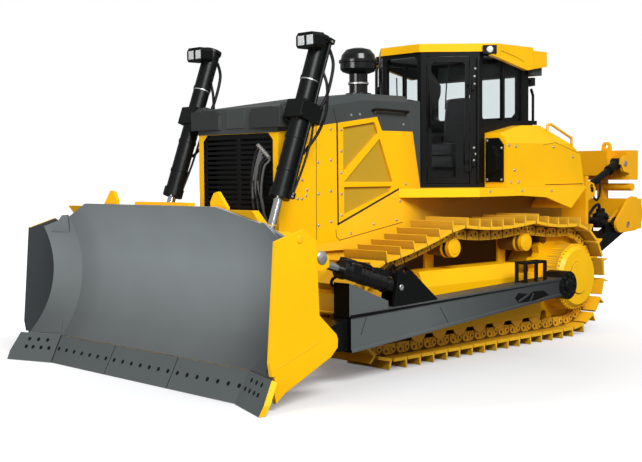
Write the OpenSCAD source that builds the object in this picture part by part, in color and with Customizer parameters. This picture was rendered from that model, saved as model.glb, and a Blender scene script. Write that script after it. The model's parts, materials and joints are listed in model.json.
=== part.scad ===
// Track bulldozer with a semi-U blade and a raised single-shank ripper, full size.
// Millimetres, +X forward, +Y the machine's left, +Z up, origin under the middle of the machine.

/* [Track] */
// Chain pitch between two track pins
chain_pitch = 216; // [208:1:224]
// Chain pins in one full turn of the sprocket
sprocket_pins = 16; // [15:1:16]
// Radius of the pin line around the idler
idler_pin_r = 435; // [415:5:450]
// Sprocket axle to idler axle
track_base = 3300; // [3200:10:3400]
// Between the centre lines of the two tracks
gauge = 2184; // [2160:2:2200]
// Width of a track shoe
shoe_w = 610; // [560:10:620]
// Shoe plate thickness
shoe_t = 22; // [16:1:26]
// Grouser height over the shoe plate
grouser_h = 84; // [70:1:90]
// Grouser thickness at its tip
grouser_t = 15; // [10:1:24]
// Link height outside the pin line
link_out = 75; // [68:1:80]
// Link height inside the pin line
link_in = 55; // [48:1:58]
// Width of one link rail
rail_w = 70; // [50:1:74]
// Sag of the top run between its rollers
track_sag = 50; // [20:1:60]
// Rear carrier roller ahead of the sprocket axle
carrier_rear_x = 850; // [800:10:1000]
// Front carrier roller behind the idler axle
carrier_front = 1130; // [1060:10:1200]
// Carrier roller axle height
carrier_z = 1190; // [1160:5:1200]
// Radius of the pin line over a carrier roller
carrier_pin_r = 165; // [155:1:170]
// Track roller radius on the rail
roller_r = 105; // [90:1:112]
// Track rollers a side
roller_count = 7; // [6:1:7]
// Final drive cover radius
drive_r = 402; // [360:2:420]
// Final drive cover face outside the track's centre line
drive_out = 348; // [330:2:356]

/* [Track frame] */
// Track frame beam width
beam_w = 410; // [380:2:420]
// Track frame beam bottom
beam_z0 = 482; // [476:1:520]
// Track frame beam top
beam_z1 = 800; // [740:5:840]
// Thickness of the roller guards and idler fork
guard_t = 30; // [20:1:40]
// Recoil cover top
cover_z = 960; // [900:5:1000]

/* [Hull] */
// Between the hull and a track frame beam
hull_gap = 287; // [270:1:300]
// Upper body wider than the hull on each side
body_out = 50; // [40:1:60]
// Belly plate height
belly_z = 520; // [480:5:560]
// Deck height on the lower hull
deck_z = 1300; // [1260:5:1320]
// Platform height
platform_z = 1840; // [1820:5:1870]
// Rear face of the hull behind the sprocket axle
hull_rear = 790; // [770:5:830]
// Front face of the nose
nose_x = 4180; // [4140:5:4200]
// Wall thickness of the enclosure
wall_t = 30; // [20:1:40]

/* [Engine enclosure] */
// Seam between the nose and the engine panel
seam_x = 3330; // [3250:5:3400]
// Lower front corner of the engine panel
panel_z0 = 1485; // [1440:5:1520]
// Front end of the platform
platform_x = 2380; // [2340:5:2420]
// Rear end of the cut front corner of the platform
clip_x = 1690; // [1650:5:1740]
// Rear edge of the engine panel at the platform
panel_rear = 2015; // [2000:5:2030]
// Lower edge of the hood at the nose
hood_z0 = 2440; // [2420:2:2460]
// Flat top of the hood at its rear
hood_z1 = 2885; // [2860:5:2900]
// Half width of the grille
grille_hw = 570; // [540:2:580]
// Top of the grille
grille_z1 = 2436; // [2410:1:2438]
// Louvres in the grille
louvres = 20; // [16:1:24]
// Intake stack ahead of the sprocket axle
stack_x = 2660; // [2500:10:2800]
// Intake stack, to the left of the middle
stack_y = 300; // [0:10:350]
// Intake stack top
stack_z = 3420; // [3300:10:3500]
// Intake bowl radius
stack_r = 218; // [180:2:224]

/* [Cab] */
// Cab front wall
cab_front = 1610; // [1590:5:1620]
// Half width of the cab front
cab_front_hw = 310; // [290:5:330]
// Where the angled door wall meets the side wall
cab_corner = 1145; // [1135:5:1155]
// Cab wall inside the track's centre line
cab_in = 272; // [268:1:290]
// Cab rear wall
cab_rear = 180; // [170:5:200]
// Top of the cab walls
cab_z1 = 3440; // [3430:2:3450]
// Cab wall thickness
cab_t = 55; // [45:1:60]
// Roof top
roof_z = 3536; // [3526:2:3560]
// Half width of the roof
roof_hw = 950; // [930:5:960]
// Clear width of a door opening
door_w = 510; // [490:5:520]
// Door panel thickness
door_t = 40; // [30:1:44]

/* [Platform and tanks] */
// Platform edge outside the track's centre line
fender_out = 158; // [140:2:170]
// Platform edge depth
fender_lip = 100; // [70:5:120]
// Platform sheet thickness
fender_t = 30; // [20:1:40]
// Side tank face outside the track's centre line
tank_out = 58; // [40:2:70]
// Side tank height at its front
tank_z0 = 2450; // [2380:5:2480]
// Side tank height at its peak
tank_z1 = 2610; // [2560:5:2640]
// Rear face of the tanks behind the sprocket axle
tank_rear = 580; // [540:5:620]

/* [Blade] */
// Radius of the curved blade plate
board_r = 1000; // [960:10:1200]
// Blade plate thickness
board_t = 30; // [20:1:40]
// Chord line of the blade plate
board_x = 5358; // [5340:2:5380]
// Blade plate height over ground at its lower edge
board_z0 = 285; // [270:1:300]
// Blade plate top between the kinks
board_z1 = 1722; // [1690:2:1760]
// Blade plate top at the outer corners
board_z2 = 1446; // [1400:2:1480]
// Kink of the top edge inside the fold
kink_in = 507; // [480:1:540]
// Blade fold outside the inner face of the push arm
fold_out = 110; // [100:1:120]
// Forward angle of the wings
wing_deg = 20; // [18:1:22]
// End plate outside the fold
end_out = 470; // [460:2:480]
// Cutting edge thickness
edge_t = 40; // [25:1:45]
// Reach of an end bit along its wing
bit_len = 625; // [600:1:640]
// Height of a blade edge over the ground
edge_z = 4; // [2:1:10]

/* [Blade linkage] */
// Push arm trunnion ahead of the sprocket axle
trunnion_x = 660; // [650:5:680]
// Push arm trunnion height
trunnion_z = 700; // [690:5:720]
// Between the shoes and a push arm
arm_gap = 93; // [86:1:100]
// Push arm width
arm_w = 230; // [224:2:240]
// Blade pin ahead of the sprocket axle
blade_pin_x = 4620; // [4600:5:4640]
// Blade pin height
blade_pin_z = 450; // [440:5:460]
// Tilt cylinder pin on the push arm
tilt_x = 3500; // [3480:5:3520]
// Tilt cylinder pin height
tilt_z = 886; // [880:2:900]
// Tilt cylinder pin on the blade
tilt_bx = 4570; // [4560:5:4580]
// Tilt cylinder pin height on the blade
tilt_bz = 1203; // [1195:2:1215]
// Tilt cylinder barrel radius
tilt_r = 78; // [65:1:85]
// Lift cylinder yoke axis ahead of the sprocket axle
yoke_x = 4068; // [4058:2:4078]
// Lift cylinder yoke height
yoke_z = 2640; // [2630:2:2650]
// Lift cylinder outside the upper body
lift_out = 230; // [222:1:240]
// Lift cylinder pin on the blade
lift_bx = 4770; // [4760:2:4780]
// Lift cylinder pin height on the blade
lift_bz = 700; // [690:2:710]
// Lift cylinder barrel radius
lift_r = 92; // [80:1:98]
// Lift cylinder rod radius
lift_rod_r = 45; // [38:1:50]
// Barrel below the yoke
lift_low = 915; // [900:5:930]
// Barrel above the yoke
lift_high = 810; // [790:5:830]

/* [Ripper] */
// Lower link pin behind the sprocket axle
rip_x = 990; // [980:5:1000]
// Lower link pin height
rip_z = 950; // [940:5:960]
// Reach of the links to the rear
rip_dx = 800; // [780:5:820]
// Rise of the raised links
rip_dz = 340; // [320:5:360]
// Upper link pin behind the sprocket axle
rip_ux = 940; // [935:5:950]
// Upper link pin height
rip_uz = 1780; // [1770:5:1800]
// Ripper lift cylinder pin behind the sprocket axle
rip_lx = 930; // [925:5:940]
// Ripper lift cylinder pin height
rip_lz = 1820; // [1810:5:1830]
// Link plane from the middle
rip_y = 900; // [890:5:910]
// Ripper beam half width
rip_beam_hw = 1040; // [1035:5:1060]
// Shank thickness
shank_t = 90; // [70:2:100]
// Shank tip height when raised
shank_z = 430; // [400:10:500]

/* [Hidden] */
$fn = 48;
gap = 0.3;

yellow = [0.96, 0.72, 0.06];
dark = [0.27, 0.29, 0.29];
black = [0.1, 0.11, 0.11];
steel = [0.62, 0.63, 0.62];
grey = [0.55, 0.55, 0.52];
pane = [0.75, 0.85, 0.87];

sprocket_r = chain_pitch / (2 * sin(180 / sprocket_pins));
sprocket_z = sprocket_r + link_out + shoe_t + grouser_h;
pin_z = sprocket_z - sprocket_r;
idler_z = pin_z + idler_pin_r;
idler_r = sqrt(idler_pin_r * idler_pin_r - chain_pitch * chain_pitch / 4) - link_in - 1;
track_y = gauge / 2;
hull_hw = track_y - beam_w / 2 - hull_gap;
body_hw = hull_hw + body_out;
drive_y = track_y + drive_out;
cab_hw = track_y - cab_in;
fender_y = track_y + fender_out;
tank_y = track_y + tank_out;
arm_y0 = track_y + shoe_w / 2 + arm_gap;
arm_y1 = arm_y0 + arm_w;
fold_y = arm_y0 + fold_out;
end_y = fold_y + end_out;
kink_y = fold_y - kink_in;
lift_y = body_hw + lift_out;
carrier_front_x = track_base - carrier_front;
roller_z = pin_z + link_in + roller_r + gap;

// Front and rear ends of the whole machine, for the origin
edge_run = 150;
bit_proud = 12;
bit_x = board_x + 10 + edge_run;
tip_x = board_x + (bit_x + bit_proud - board_x) * cos(wing_deg) + bit_len * sin(wing_deg);
beam_xr = rip_x + rip_dx + 360;
x_mid = (tip_x - beam_xr) / 2;

module side(y0, y1) {
    translate([0, y1, 0])
        rotate([90, 0, 0])
            linear_extrude(y1 - y0)
                children();
}

module across(x0, x1) {
    translate([x0, 0, 0])
        rotate([90, 0, 90])
            linear_extrude(x1 - x0)
                children();
}

module rod_y(x, z, r, y0, y1) {
    translate([x, y1, z])
        rotate([90, 0, 0])
            cylinder(h = y1 - y0, r = r);
}

module block(x0, x1, y0, y1, z0, z1) {
    translate([x0, y0, z0])
        cube([x1 - x0, y1 - y0, z1 - z0]);
}

module both() {
    children();
    mirror([0, 1, 0])
        children();
}

module right() {
    mirror([0, 1, 0])
        children();
}

// Round bar between two points
module tube(p, q, r) {
    d = q - p;
    translate(p)
        rotate([0, acos(d[2] / norm(d)), atan2(d[1], d[0])])
            cylinder(h = norm(d), r = r);
}

// Bent round bar through a list of points
module rail(list, r) {
    for (i = [0 : len(list) - 2])
        tube(list[i], list[i + 1], r);
    for (i = [1 : len(list) - 2])
        translate(list[i])
            sphere(r = r + 1);
}

// Path of the chain pins, a belt round sprocket, idler and carrier rollers
wheels = [[0, sprocket_z, sprocket_r], [track_base, idler_z, idler_pin_r],
    [carrier_front_x, carrier_z, carrier_pin_r], [carrier_rear_x, carrier_z, carrier_pin_r]];
sags = [0, track_sag * 0.6, track_sag, track_sag * 0.6];
arc_steps = [24, 24, 4, 4];

function belt_angle(a, b) =
    let (dx = b[0] - a[0], dz = b[1] - a[1])
    atan2(dz, dx) - 90 + asin((a[2] - b[2]) / norm([dx, dz]));
function on_wheel(w, ang) = [w[0] + w[2] * cos(ang), w[1] + w[2] * sin(ang)];
function after(a, ref) = a < ref - 1 ? after(a + 360, ref) : a > ref + 359 ? after(a - 360, ref) : a;
function wheel_points(i) =
    let (w = wheels[i], a0 = belt_angle(wheels[(i + 3) % 4], w),
        a1 = after(belt_angle(w, wheels[(i + 1) % 4]), a0))
    [for (k = [0 : arc_steps[i]]) on_wheel(w, a0 + (a1 - a0) * k / arc_steps[i])];
function span_points(i) =
    let (a = belt_angle(wheels[i], wheels[(i + 1) % 4]),
        p = on_wheel(wheels[i], a), q = on_wheel(wheels[(i + 1) % 4], a))
    [for (k = [1 : 11]) let (t = k / 12) p + (q - p) * t - [0, sags[i] * 4 * t * (1 - t)]];
belt = [for (i = [0 : 3]) each concat(wheel_points(i), span_points(i))];
belt_n = len(belt);
function run(i) = i == 0 ? [0] : let (r = run(i - 1)) concat(r,
    [r[i - 1] + norm(belt[i % belt_n] - belt[i - 1])]);
belt_s = run(belt_n);
belt_len = belt_s[belt_n];
belt_x = [for (i = [0 : belt_n]) [belt_s[i], belt[i % belt_n][0]]];
belt_z = [for (i = [0 : belt_n]) [belt_s[i], belt[i % belt_n][1]]];
link_count = round(belt_len / chain_pitch);
function pin(k) = let (s = (k % link_count) * belt_len / link_count) [lookup(s, belt_x), lookup(s, belt_z)];
pins = [for (k = [0 : link_count - 1]) pin(k)];
function on_link(k, u, w) =
    let (p = pins[k], q = pins[(k + 1) % link_count], d = (q - p) / norm(q - p))
    (p + q) / 2 + d * u + [d[1], -d[0]] * w;

function near(c, p, q) =
    let (d = q - p, t = max(0, min(1, (c - p) * d / (d * d))))
    norm(c - p - d * t);
function chain_over(x) =
    min([for (k = [0 : link_count - 1])
        near([x, carrier_z], on_link(k, -chain_pitch * 0.42, -link_in), on_link(k, chain_pitch * 0.42,
            -link_in))]);
function corner_over(x) =
    min([for (k = [0 : link_count - 1])
        near([x, carrier_z], on_link(k, chain_pitch * 0.42, -link_in),
            on_link((k + 1) % link_count, -chain_pitch * 0.42, -link_in))]);
function carrier_r(x) = min(chain_over(x), corner_over(x)) - 1;

function rail_outer() = [for (k = [0 : link_count - 1]) on_link(k, 0, link_out)];
function rail_inner() = [for (k = [0 : link_count - 1]) each
    [on_link(k, -chain_pitch * 0.42, -link_in), on_link(k, chain_pitch * 0.42, -link_in)]];

module rail_profile() {
    outer = rail_outer();
    inner = rail_inner();
    n = len(outer);
    m = len(inner);
    polygon(concat(outer, inner), [[for (i = [0 : n - 1]) i], [for (i = [0 : m - 1]) n + i]]);
}

module shoe_profile(k) {
    h = chain_pitch / 2 - 5;
    w0 = link_out - 12;
    w1 = link_out + shoe_t;
    w2 = w1 + grouser_h;
    polygon([on_link(k, -h, w0), on_link(k, h, w0), on_link(k, h, w1), on_link(k, -h + 28, w1),
        on_link(k, -h + 6 + grouser_t, w2), on_link(k, -h + 6, w2)]);
}

module track() {
    color([0.72, 0.55, 0.16]) {
        side(track_y - 60 - rail_w, track_y - 60)
            rail_profile();
        side(track_y + 60, track_y + 60 + rail_w)
            rail_profile();
        for (k = [0 : link_count - 1])
            side(track_y - shoe_w / 2, track_y + shoe_w / 2)
                shoe_profile(k);
    }
}

module track_left() {
    track();
}

module track_right() {
    right()
        track();
}

// Roller frames with guards, idler fork, carrier posts and the stub for the push arm
module frame_side() {
    h = beam_w / 2;
    difference() {
        union() {
            block(trunnion_x - 75, track_base - 430, track_y - h, track_y + h, beam_z0, beam_z1);
            for (s = [-1, 1])
                translate([0, track_y + s * (h - guard_t / 2), 0]) {
                    block(trunnion_x - 75, track_base - 500, -guard_t / 2, guard_t / 2, 300, beam_z1);
                    block(track_base - 500, track_base + 110, -guard_t / 2, guard_t / 2, idler_z - 110,
                        idler_z + 110);
                }
            across(1000, track_base - 600)
                polygon([[track_y - h, beam_z1 - 1], [track_y + h, beam_z1 - 1],
                    [track_y + h - 70, cover_z], [track_y - h + 70, cover_z]]);
            for (x = [carrier_rear_x, carrier_front_x])
                block(x - 70, x + 70, track_y - h, track_y - h + guard_t, beam_z1 - 1, carrier_z + 55);
            rod_y(trunnion_x, trunnion_z, 75, track_y + h - 10, arm_y1 - 30);
        }
        rod_y(track_base, idler_z, 60 + gap, track_y - h - 1, track_y + h + 1);
    }
}

module track_frames() {
    color(yellow)
        both()
            frame_side();
}

module track_rollers() {
    h = beam_w / 2 - guard_t;
    x0 = trunnion_x - 20;
    x1 = track_base - 562;
    color([0.6, 0.46, 0.15])
        both() {
            for (i = [0 : roller_count - 1]) {
                x = x0 + (x1 - x0) * i / (roller_count - 1);
                rod_y(x, roller_z, roller_r, track_y - 158, track_y + 158);
                for (s = [-1, 1])
                    rod_y(x, roller_z, roller_r + 24, track_y + s * 147 - 10, track_y + s * 147 + 10);
                rod_y(x, roller_z, 45, track_y - h, track_y + h);
            }
            for (x = [carrier_rear_x, carrier_front_x]) {
                rod_y(x, carrier_z, carrier_r(x), track_y - 160, track_y + 160);
                rod_y(x, carrier_z, 45, track_y - h, track_y + 190);
            }
        }
}

module idlers() {
    h = beam_w / 2;
    r = idler_r;
    color([0.6, 0.46, 0.15])
        both() {
            difference() {
                union() {
                    rod_y(track_base, idler_z, r, track_y - 150, track_y + 150);
                    rod_y(track_base, idler_z, r + 34, track_y - 48, track_y + 48);
                }
                for (s = [-1, 1])
                    rod_y(track_base, idler_z, r - 70, track_y + s * 105 - 60, track_y + s * 105 + 60);
            }
            rod_y(track_base, idler_z, 120, track_y - h + guard_t, track_y + h - guard_t);
            rod_y(track_base, idler_z, 60, track_y - h, track_y + h + 25);
        }
}

// Final drive with the sprocket ring between the link rails
module tooth_ring() {
    r0 = sprocket_r - 55;
    r1 = sprocket_r + 18;
    step = 360 / sprocket_pins;
    polygon([for (k = [0 : sprocket_pins - 1]) each
        [for (c = [[-0.36, r0], [-0.14, r1], [0.14, r1], [0.36, r0]])
            [c[1] * sin((k + c[0]) * step), sprocket_z + c[1] * cos((k + c[0]) * step)]]]);
}

module final_drives() {
    color(yellow)
        both() {
            rod_y(0, sprocket_z, 360, hull_hw, track_y - 40);
            side(track_y - 48, track_y + 48)
                tooth_ring();
            rod_y(0, sprocket_z, drive_r, track_y + 40, drive_y - 60);
            translate([0, drive_y - 60, sprocket_z])
                rotate([-90, 0, 0])
                    cylinder(h = 60, r1 = drive_r - 14, r2 = drive_r - 64);
            rod_y(0, sprocket_z, drive_r * 0.5, drive_y - 1, drive_y + 18);
        }
}

module frame_crossbars() {
    color(dark)
        both()
            for (x = [1150, 2550])
                rod_y(x, 660, 85, hull_hw, track_y - beam_w / 2);
}

// Main frame with deck, apron walls and front guard
module main_frame() {
    color(yellow) {
        side(-hull_hw, hull_hw)
            polygon([[-hull_rear, 640], [-hull_rear + 120, belly_z], [3600, belly_z], [nose_x - 20, 900],
                [nose_x - 20, deck_z], [-hull_rear, deck_z]]);
        block(-hull_rear, nose_x, -body_hw, body_hw, deck_z - 100, deck_z);
        difference() {
            side(-body_hw, body_hw)
                polygon([[-hull_rear, deck_z - 1], [seam_x, deck_z - 1], [seam_x, panel_z0],
                    [platform_x, platform_z], [-hull_rear, platform_z]]);
            block(panel_rear, seam_x + 1, -body_hw + wall_t, body_hw - wall_t, deck_z, platform_z + 1);
        }
    }
}

// Engine and cooler, clear of the enclosure walls
engine_room = 240;
cooler_room = 120;
module engine_block() {
    engine_hw = body_hw - wall_t - engine_room;
    cooler_hw = body_hw - wall_t - cooler_room;
    color(dark) {
        block(panel_rear + 160, seam_x - 80, -engine_hw, engine_hw, deck_z, 2450);
        block(nose_x - 480, nose_x - 120, -cooler_hw, cooler_hw, deck_z, hood_z0 - 30);
    }
}

// Lower edge and crown of the hood, which fall towards the nose
step_x = 2728;
step_z = 2633;
sill_low = 2483;
hood_bar = 3930;
hood_flat = 2933;
crown_front = 2705;
function hood_low(x) = hood_z0 + (step_z - hood_z0) * (nose_x - x) / (nose_x - step_x);
function hood_crown(x) = crown_front + (hood_z1 - crown_front) * (nose_x + 10 - x) / (nose_x + 10 - hood_flat);
hood_rear_low = panel_rear + 130;
hood_rear_top = hood_rear_low + 60;
crown_deg = atan((hood_z1 - crown_front) / (nose_x + 10 - hood_flat));

// Cuts that bevel both shoulders of the hood
module shoulder_cuts() {
    w = 75;
    both() {
        across(hood_rear_low - 50, hood_flat)
            polygon([[body_hw - w, hood_z1 + 0.1], [body_hw + 1, hood_z1 + 0.1], [body_hw + 1,
                hood_z1 - w]]);
        translate([hood_flat, 0, hood_z1])
            rotate([0, crown_deg, 0])
                across(-1, 1500)
                    polygon([[body_hw - w, 0.1], [body_hw + 1, 0.1], [body_hw + 1, -w]]);
    }
}

module grille_outline() {
    c = 70;
    polygon([[-grille_hw, deck_z + 40], [grille_hw, deck_z + 40], [grille_hw, grille_z1 - c],
        [grille_hw - c, grille_z1], [-grille_hw + c, grille_z1], [-grille_hw, grille_z1 - c]]);
}

module radiator_guard() {
    color(yellow)
        difference() {
            side(-body_hw, body_hw)
                polygon([[seam_x, deck_z], [nose_x, deck_z], [nose_x, hood_z0 - 0.3], [seam_x,
                    hood_low(seam_x) - 0.3]]);
            block(seam_x - 1, nose_x - wall_t, -body_hw + wall_t, body_hw - wall_t, deck_z - 1, hood_z1);
            across(nose_x - wall_t - 1, nose_x + 1)
                grille_outline();
        }
}

module front_grille() {
    z0 = deck_z + 40;
    step = (grille_z1 - z0 - 60) / louvres;
    color(black) {
        difference() {
            across(nose_x - wall_t, nose_x - 18)
                grille_outline();
            for (s = [-1, 1])
                for (i = [0 : louvres - 1])
                    block(nose_x - wall_t - 1, nose_x, s > 0 ? 30 : -grille_hw + 40,
                        s > 0 ? grille_hw - 40 : -30, z0 + 34 + i * step, z0 + 34 + i * step + step * 0.45);
        }
    }
}

module nose_crossbar() {
    color(dark)
        difference() {
            union() {
                difference() {
                    side(-body_hw, body_hw)
                        polygon([[hood_bar, hood_low(hood_bar)], [nose_x + 10, hood_low(nose_x + 10)],
                            [nose_x + 10, crown_front], [hood_bar, hood_crown(hood_bar)]]);
                    shoulder_cuts();
                }
                block(nose_x + 9, nose_x + 22, -150, 150, 2495, 2690);
                both() {
                    across(hood_bar, nose_x + 45)
                        polygon([[250, 2490], [body_hw + 80, 2490], [body_hw + 80, 2690], [300, 2690],
                            [250, 2640]]);
                    rod_y(yoke_x, yoke_z, 110, body_hw, lift_y - 135);
                }
            }
            both()
                rod_y(yoke_x, yoke_z, 60 + gap, lift_y - 300, lift_y - 100);
        }
}

module hood_top() {
    color(dark)
        difference() {
            side(-body_hw, body_hw)
                polygon([[hood_bar, hood_low(hood_bar)], [hood_bar, hood_crown(hood_bar)], [hood_flat,
                    hood_z1],
                    [hood_rear_top, hood_z1], [hood_rear_low, sill_low], [2650, sill_low], [step_x,
                        step_z]]);
            shoulder_cuts();
            side(-body_hw + 90, body_hw - 90)
                polygon([[hood_bar - wall_t, 2300], [hood_bar - wall_t, hood_crown(hood_bar) - wall_t],
                    [hood_flat, hood_z1 - wall_t], [hood_rear_top + 60, hood_z1 - wall_t],
                        [hood_rear_top, 2300]]);
        }
}

module rear_cowl() {
    color(dark)
        intersection() {
            side(-body_hw, body_hw)
                polygon([[panel_rear, platform_z], [hood_rear_low - 0.3, sill_low],
                    [hood_rear_low - 0.3 + 60 * (2845 - sill_low) / (hood_z1 - sill_low), 2845],
                    [cab_front + 70, 2800], [cab_front + 70, platform_z]]);
            translate([0, 0, platform_z - 1])
                linear_extrude(2000)
                    polygon([[hood_rear_top, -body_hw], [hood_rear_top, body_hw], [panel_rear, body_hw],
                        [cab_front + 70, 330], [cab_front + 70, -330], [panel_rear, -body_hw]]);
        }
}

// Mesh windows of the engine panel, as corners along the machine
mesh_windows = [[[3251, 2507], [2770, 2575], [2716, 2453], [3256, 2028]], [[2688, 2396], [2481, 1918],
    [3244, 1927]], [[3244, 1871], [2496, 1870], [2524, 1813], [3247, 1575]]];

module engine_panels() {
    color(yellow)
        both()
            side(body_hw - wall_t, body_hw)
                difference() {
                    polygon([[seam_x, panel_z0], [seam_x, hood_low(seam_x)], [step_x, step_z], [2650,
                        sill_low],
                        [hood_rear_low, sill_low], [panel_rear, platform_z], [platform_x, platform_z]]);
                    for (w = mesh_windows)
                        polygon(w);
                }
}

module panel_meshes() {
    color([0.42, 0.38, 0.2])
        both()
            side(body_hw - wall_t - 12, body_hw - wall_t)
                polygon([[seam_x - 40, panel_z0 + 45], [seam_x - 40, hood_low(seam_x) - 30],
                    [step_x + 20, step_z - 25],
                    [2640, 2440], [2430, platform_z + 10]]);
}

module intake_stack() {
    b = stack_z - 270;
    h = hood_z1;
    color(black)
        translate([stack_x, stack_y, 0])
            rotate_extrude()
                polygon([[0, h], [145, h], [145, h + 25], [103, h + 25], [103, h + 120], [112,
                    h + 120], [112, h + 150],
                    [103, h + 150], [103, b - 25], [stack_r - 40, b], [stack_r - 14, b + 30],
                        [stack_r - 14, b + 95],
                    [stack_r, b + 100], [stack_r, b + 130], [stack_r - 20, b + 135], [stack_r - 35,
                        b + 190],
                    [stack_r * 0.62, stack_z - 25], [stack_r * 0.3, stack_z - 6], [0, stack_z]]);
}

// Cab with an angled door wall on each front corner
tank_front = cab_corner - 85;
wall_dx = cab_front - cab_corner;
wall_dy = cab_hw - cab_front_hw;
wall_len = norm([wall_dx, wall_dy]);
wall_ang = atan2(wall_dy, -wall_dx);
door_s0 = 65;
door_s1 = door_s0 + door_w;

function cab_plan(t) =
    let (nx = wall_dy / wall_len, ny = wall_dx / wall_len,
        c = nx * cab_front + ny * cab_front_hw - t, xf = cab_front - t, yh = cab_hw - t,
        yf = (c - nx * xf) / ny, xc = (c - ny * yh) / nx)
    [[xf, -yf], [xf, yf], [xc, yh], [cab_rear + t, yh], [cab_rear + t, -yh], [xc, -yh]];

module on_door_wall() {
    translate([cab_front, cab_front_hw, 0])
        rotate([0, 0, wall_ang])
            children();
}

sill_z = 2640;
head_z = 3390;

// Cab windows with bevelled corners
module bevelled(x0, x1, z0, z1, c) {
    polygon([[x0 + c, z0], [x1 - c, z0], [x1, z0 + c], [x1, z1 - c], [x1 - c, z1], [x0 + c, z1], [x0,
        z1 - c],
        [x0, z0 + c]]);
}

module front_window() {
    bevelled(-cab_front_hw + 60, cab_front_hw - 60, 2500, head_z, 40);
}

module rear_window() {
    bevelled(-650, 650, sill_z + 60, head_z, 50);
}

bar_x = 675;

module rear_quarter() {
    bevelled(cab_rear + 130, bar_x - 16, sill_z, head_z, 30);
}

module front_quarter() {
    bevelled(bar_x + 16, cab_corner - 50, sill_z, head_z, 30);
}

module cab_frame() {
    color(black) {
        difference() {
            translate([0, 0, platform_z])
                linear_extrude(cab_z1 - platform_z)
                    polygon(cab_plan(0));
            translate([0, 0, platform_z - 1])
                linear_extrude(cab_z1)
                    polygon(cab_plan(cab_t));
            across(cab_front - cab_t - 1, cab_front + 1)
                front_window();
            both() {
                side(cab_hw - cab_t - 1, cab_hw + 1) {
                    rear_quarter();
                    front_quarter();
                }
                on_door_wall()
                    block(door_s0, door_s1, -1, cab_t + 20, platform_z + 40, head_z);
            }
            across(cab_rear - 1, cab_rear + cab_t + 1)
                rear_window();
        }
        translate([0, 0, platform_z])
            linear_extrude(40)
                polygon(cab_plan(cab_t + 0.3));
        both() {
            on_door_wall()
                for (z = [2090, 2990]) {
                    translate([door_s1 + 4, -24, z])
                        cylinder(h = 60, r = 20);
                    block(door_s1 + 8, door_s1 + 60, -30, 1, z, z + 60);
                }
            rail([[cab_rear + 10, cab_hw - 40, 3050], [70, cab_hw - 40, 3050], [30, cab_hw - 40, 2970],
                [30, cab_hw - 40, 2640]], 17);
        }
        block(0, cab_rear + 1, -cab_hw, cab_hw, 2605, 2655);
        block(100, cab_rear + 1, -cab_hw, cab_hw, 2490, 2606);
    }
}

module cab_glass() {
    color(pane) {
        across(cab_front - 38, cab_front - 26)
            front_window();
        both()
            side(cab_hw - 38, cab_hw - 26) {
                rear_quarter();
                front_quarter();
            }
        across(cab_rear + 26, cab_rear + 38)
            rear_window();
    }
}

module cab_roof() {
    color(yellow)
        difference() {
            union() {
                translate([0, 0, cab_z1])
                    linear_extrude(roof_z - cab_z1)
                        polygon([[cab_front + 30, -cab_front_hw - 4], [cab_front + 30,
                            cab_front_hw + 4], [1000, roof_hw],
                            [260, roof_hw], [260, -roof_hw], [1000, -roof_hw]]);
                block(-45, 261, -roof_hw + 14, roof_hw - 14, cab_z1, roof_z - 34);
                both()
                    side(roof_hw - 60, roof_hw) {
                        polygon([[1000, cab_z1 + 1], [1075, 3391], [376, 3253], [260, 3272], [260,
                            cab_z1 + 1]]);
                    }
                both()
                    side(roof_hw - 60, roof_hw - 14)
                        polygon([[261, 3272], [-45, 3321], [-45, cab_z1 + 1], [261, cab_z1 + 1]]);
            }
            both() {
                side(roof_hw - 8, roof_hw + 1)
                    polygon([[930, 3425], [620, 3345], [470, 3328], [440, 3350], [560, 3392], [890, 3455]]);
                at_lamp()
                    block(-45, 200, -82, 82, -52, 52);
            }
        }
}

module roof_unit() {
    color(dark)
        block(-30, cab_rear, -roof_hw + 80, roof_hw - 80, 3215, cab_z1);
}

// Work lamps on the roof corners and the rear posts
module at_lamp() {
    translate([1075, 916, 3462])
        rotate([0, 0, 42])
            children();
}

module lamp_head() {
    difference() {
        block(-45, 10, -80, 80, -50, 50);
        translate([9, 0, 0])
            rotate([0, -90, 0])
                cylinder(h = 8, r = 40);
    }
    translate([2, 0, 0])
        rotate([0, 90, 0])
            cylinder(h = 7, r = 36);
}

module work_lamps() {
    color(black)
        both() {
            at_lamp()
                lamp_head();
            block(60, cab_rear, cab_hw - 50, cab_hw - 10, 3120, 3150);
            translate([70, cab_hw - 30, 3135])
                rotate([0, 0, 150])
                    lamp_head();
        }
}

// Black plates on the tank fronts with a rubber stop for each door
stop_in = 30;
stop_up = 60;
module door_stops() {
    color(black)
        both()
            translate([0, cab_hw + stop_in, platform_z + stop_up]) {
                across(tank_front, tank_front + 14)
                    polygon([[0, 0], [260, 0], [260, 440], [190, 520], [0, 520]]);
                across(tank_front + 13, tank_front + 60)
                    polygon([[70, 90], [210, 140], [210, 300], [140, 430], [50, 390]]);
            }
}

module operator_seat() {
    color(black)
        side(-250, 250)
            polygon([[480, platform_z + 40], [880, platform_z + 40], [880, 2200], [960, 2260], [960, 2390],
                [560, 2370], [500, 2980], [400, 2980], [420, 2330]]);
}

module control_console() {
    color(dark) {
        both()
            block(520, 960, 300, 430, platform_z + 40, 2520);
        block(1410, 1545, -170, 170, platform_z + 40, 2420);
    }
}

// Doors in the angled walls, hinged at their rear edge
module door_window() {
    translate([door_s0, 0])
        polygon([[58, 2005], [108, 1955], [door_w - 170, 1955], [door_w - 58, 2110], [door_w - 58, 3300],
            [door_w - 90, 3332],
            [90, 3332], [58, 3300], [58, 3205], [118, 3125], [165, 3045], [165, 2935], [125, 2805],
                [58, 2765]]);
}

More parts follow.
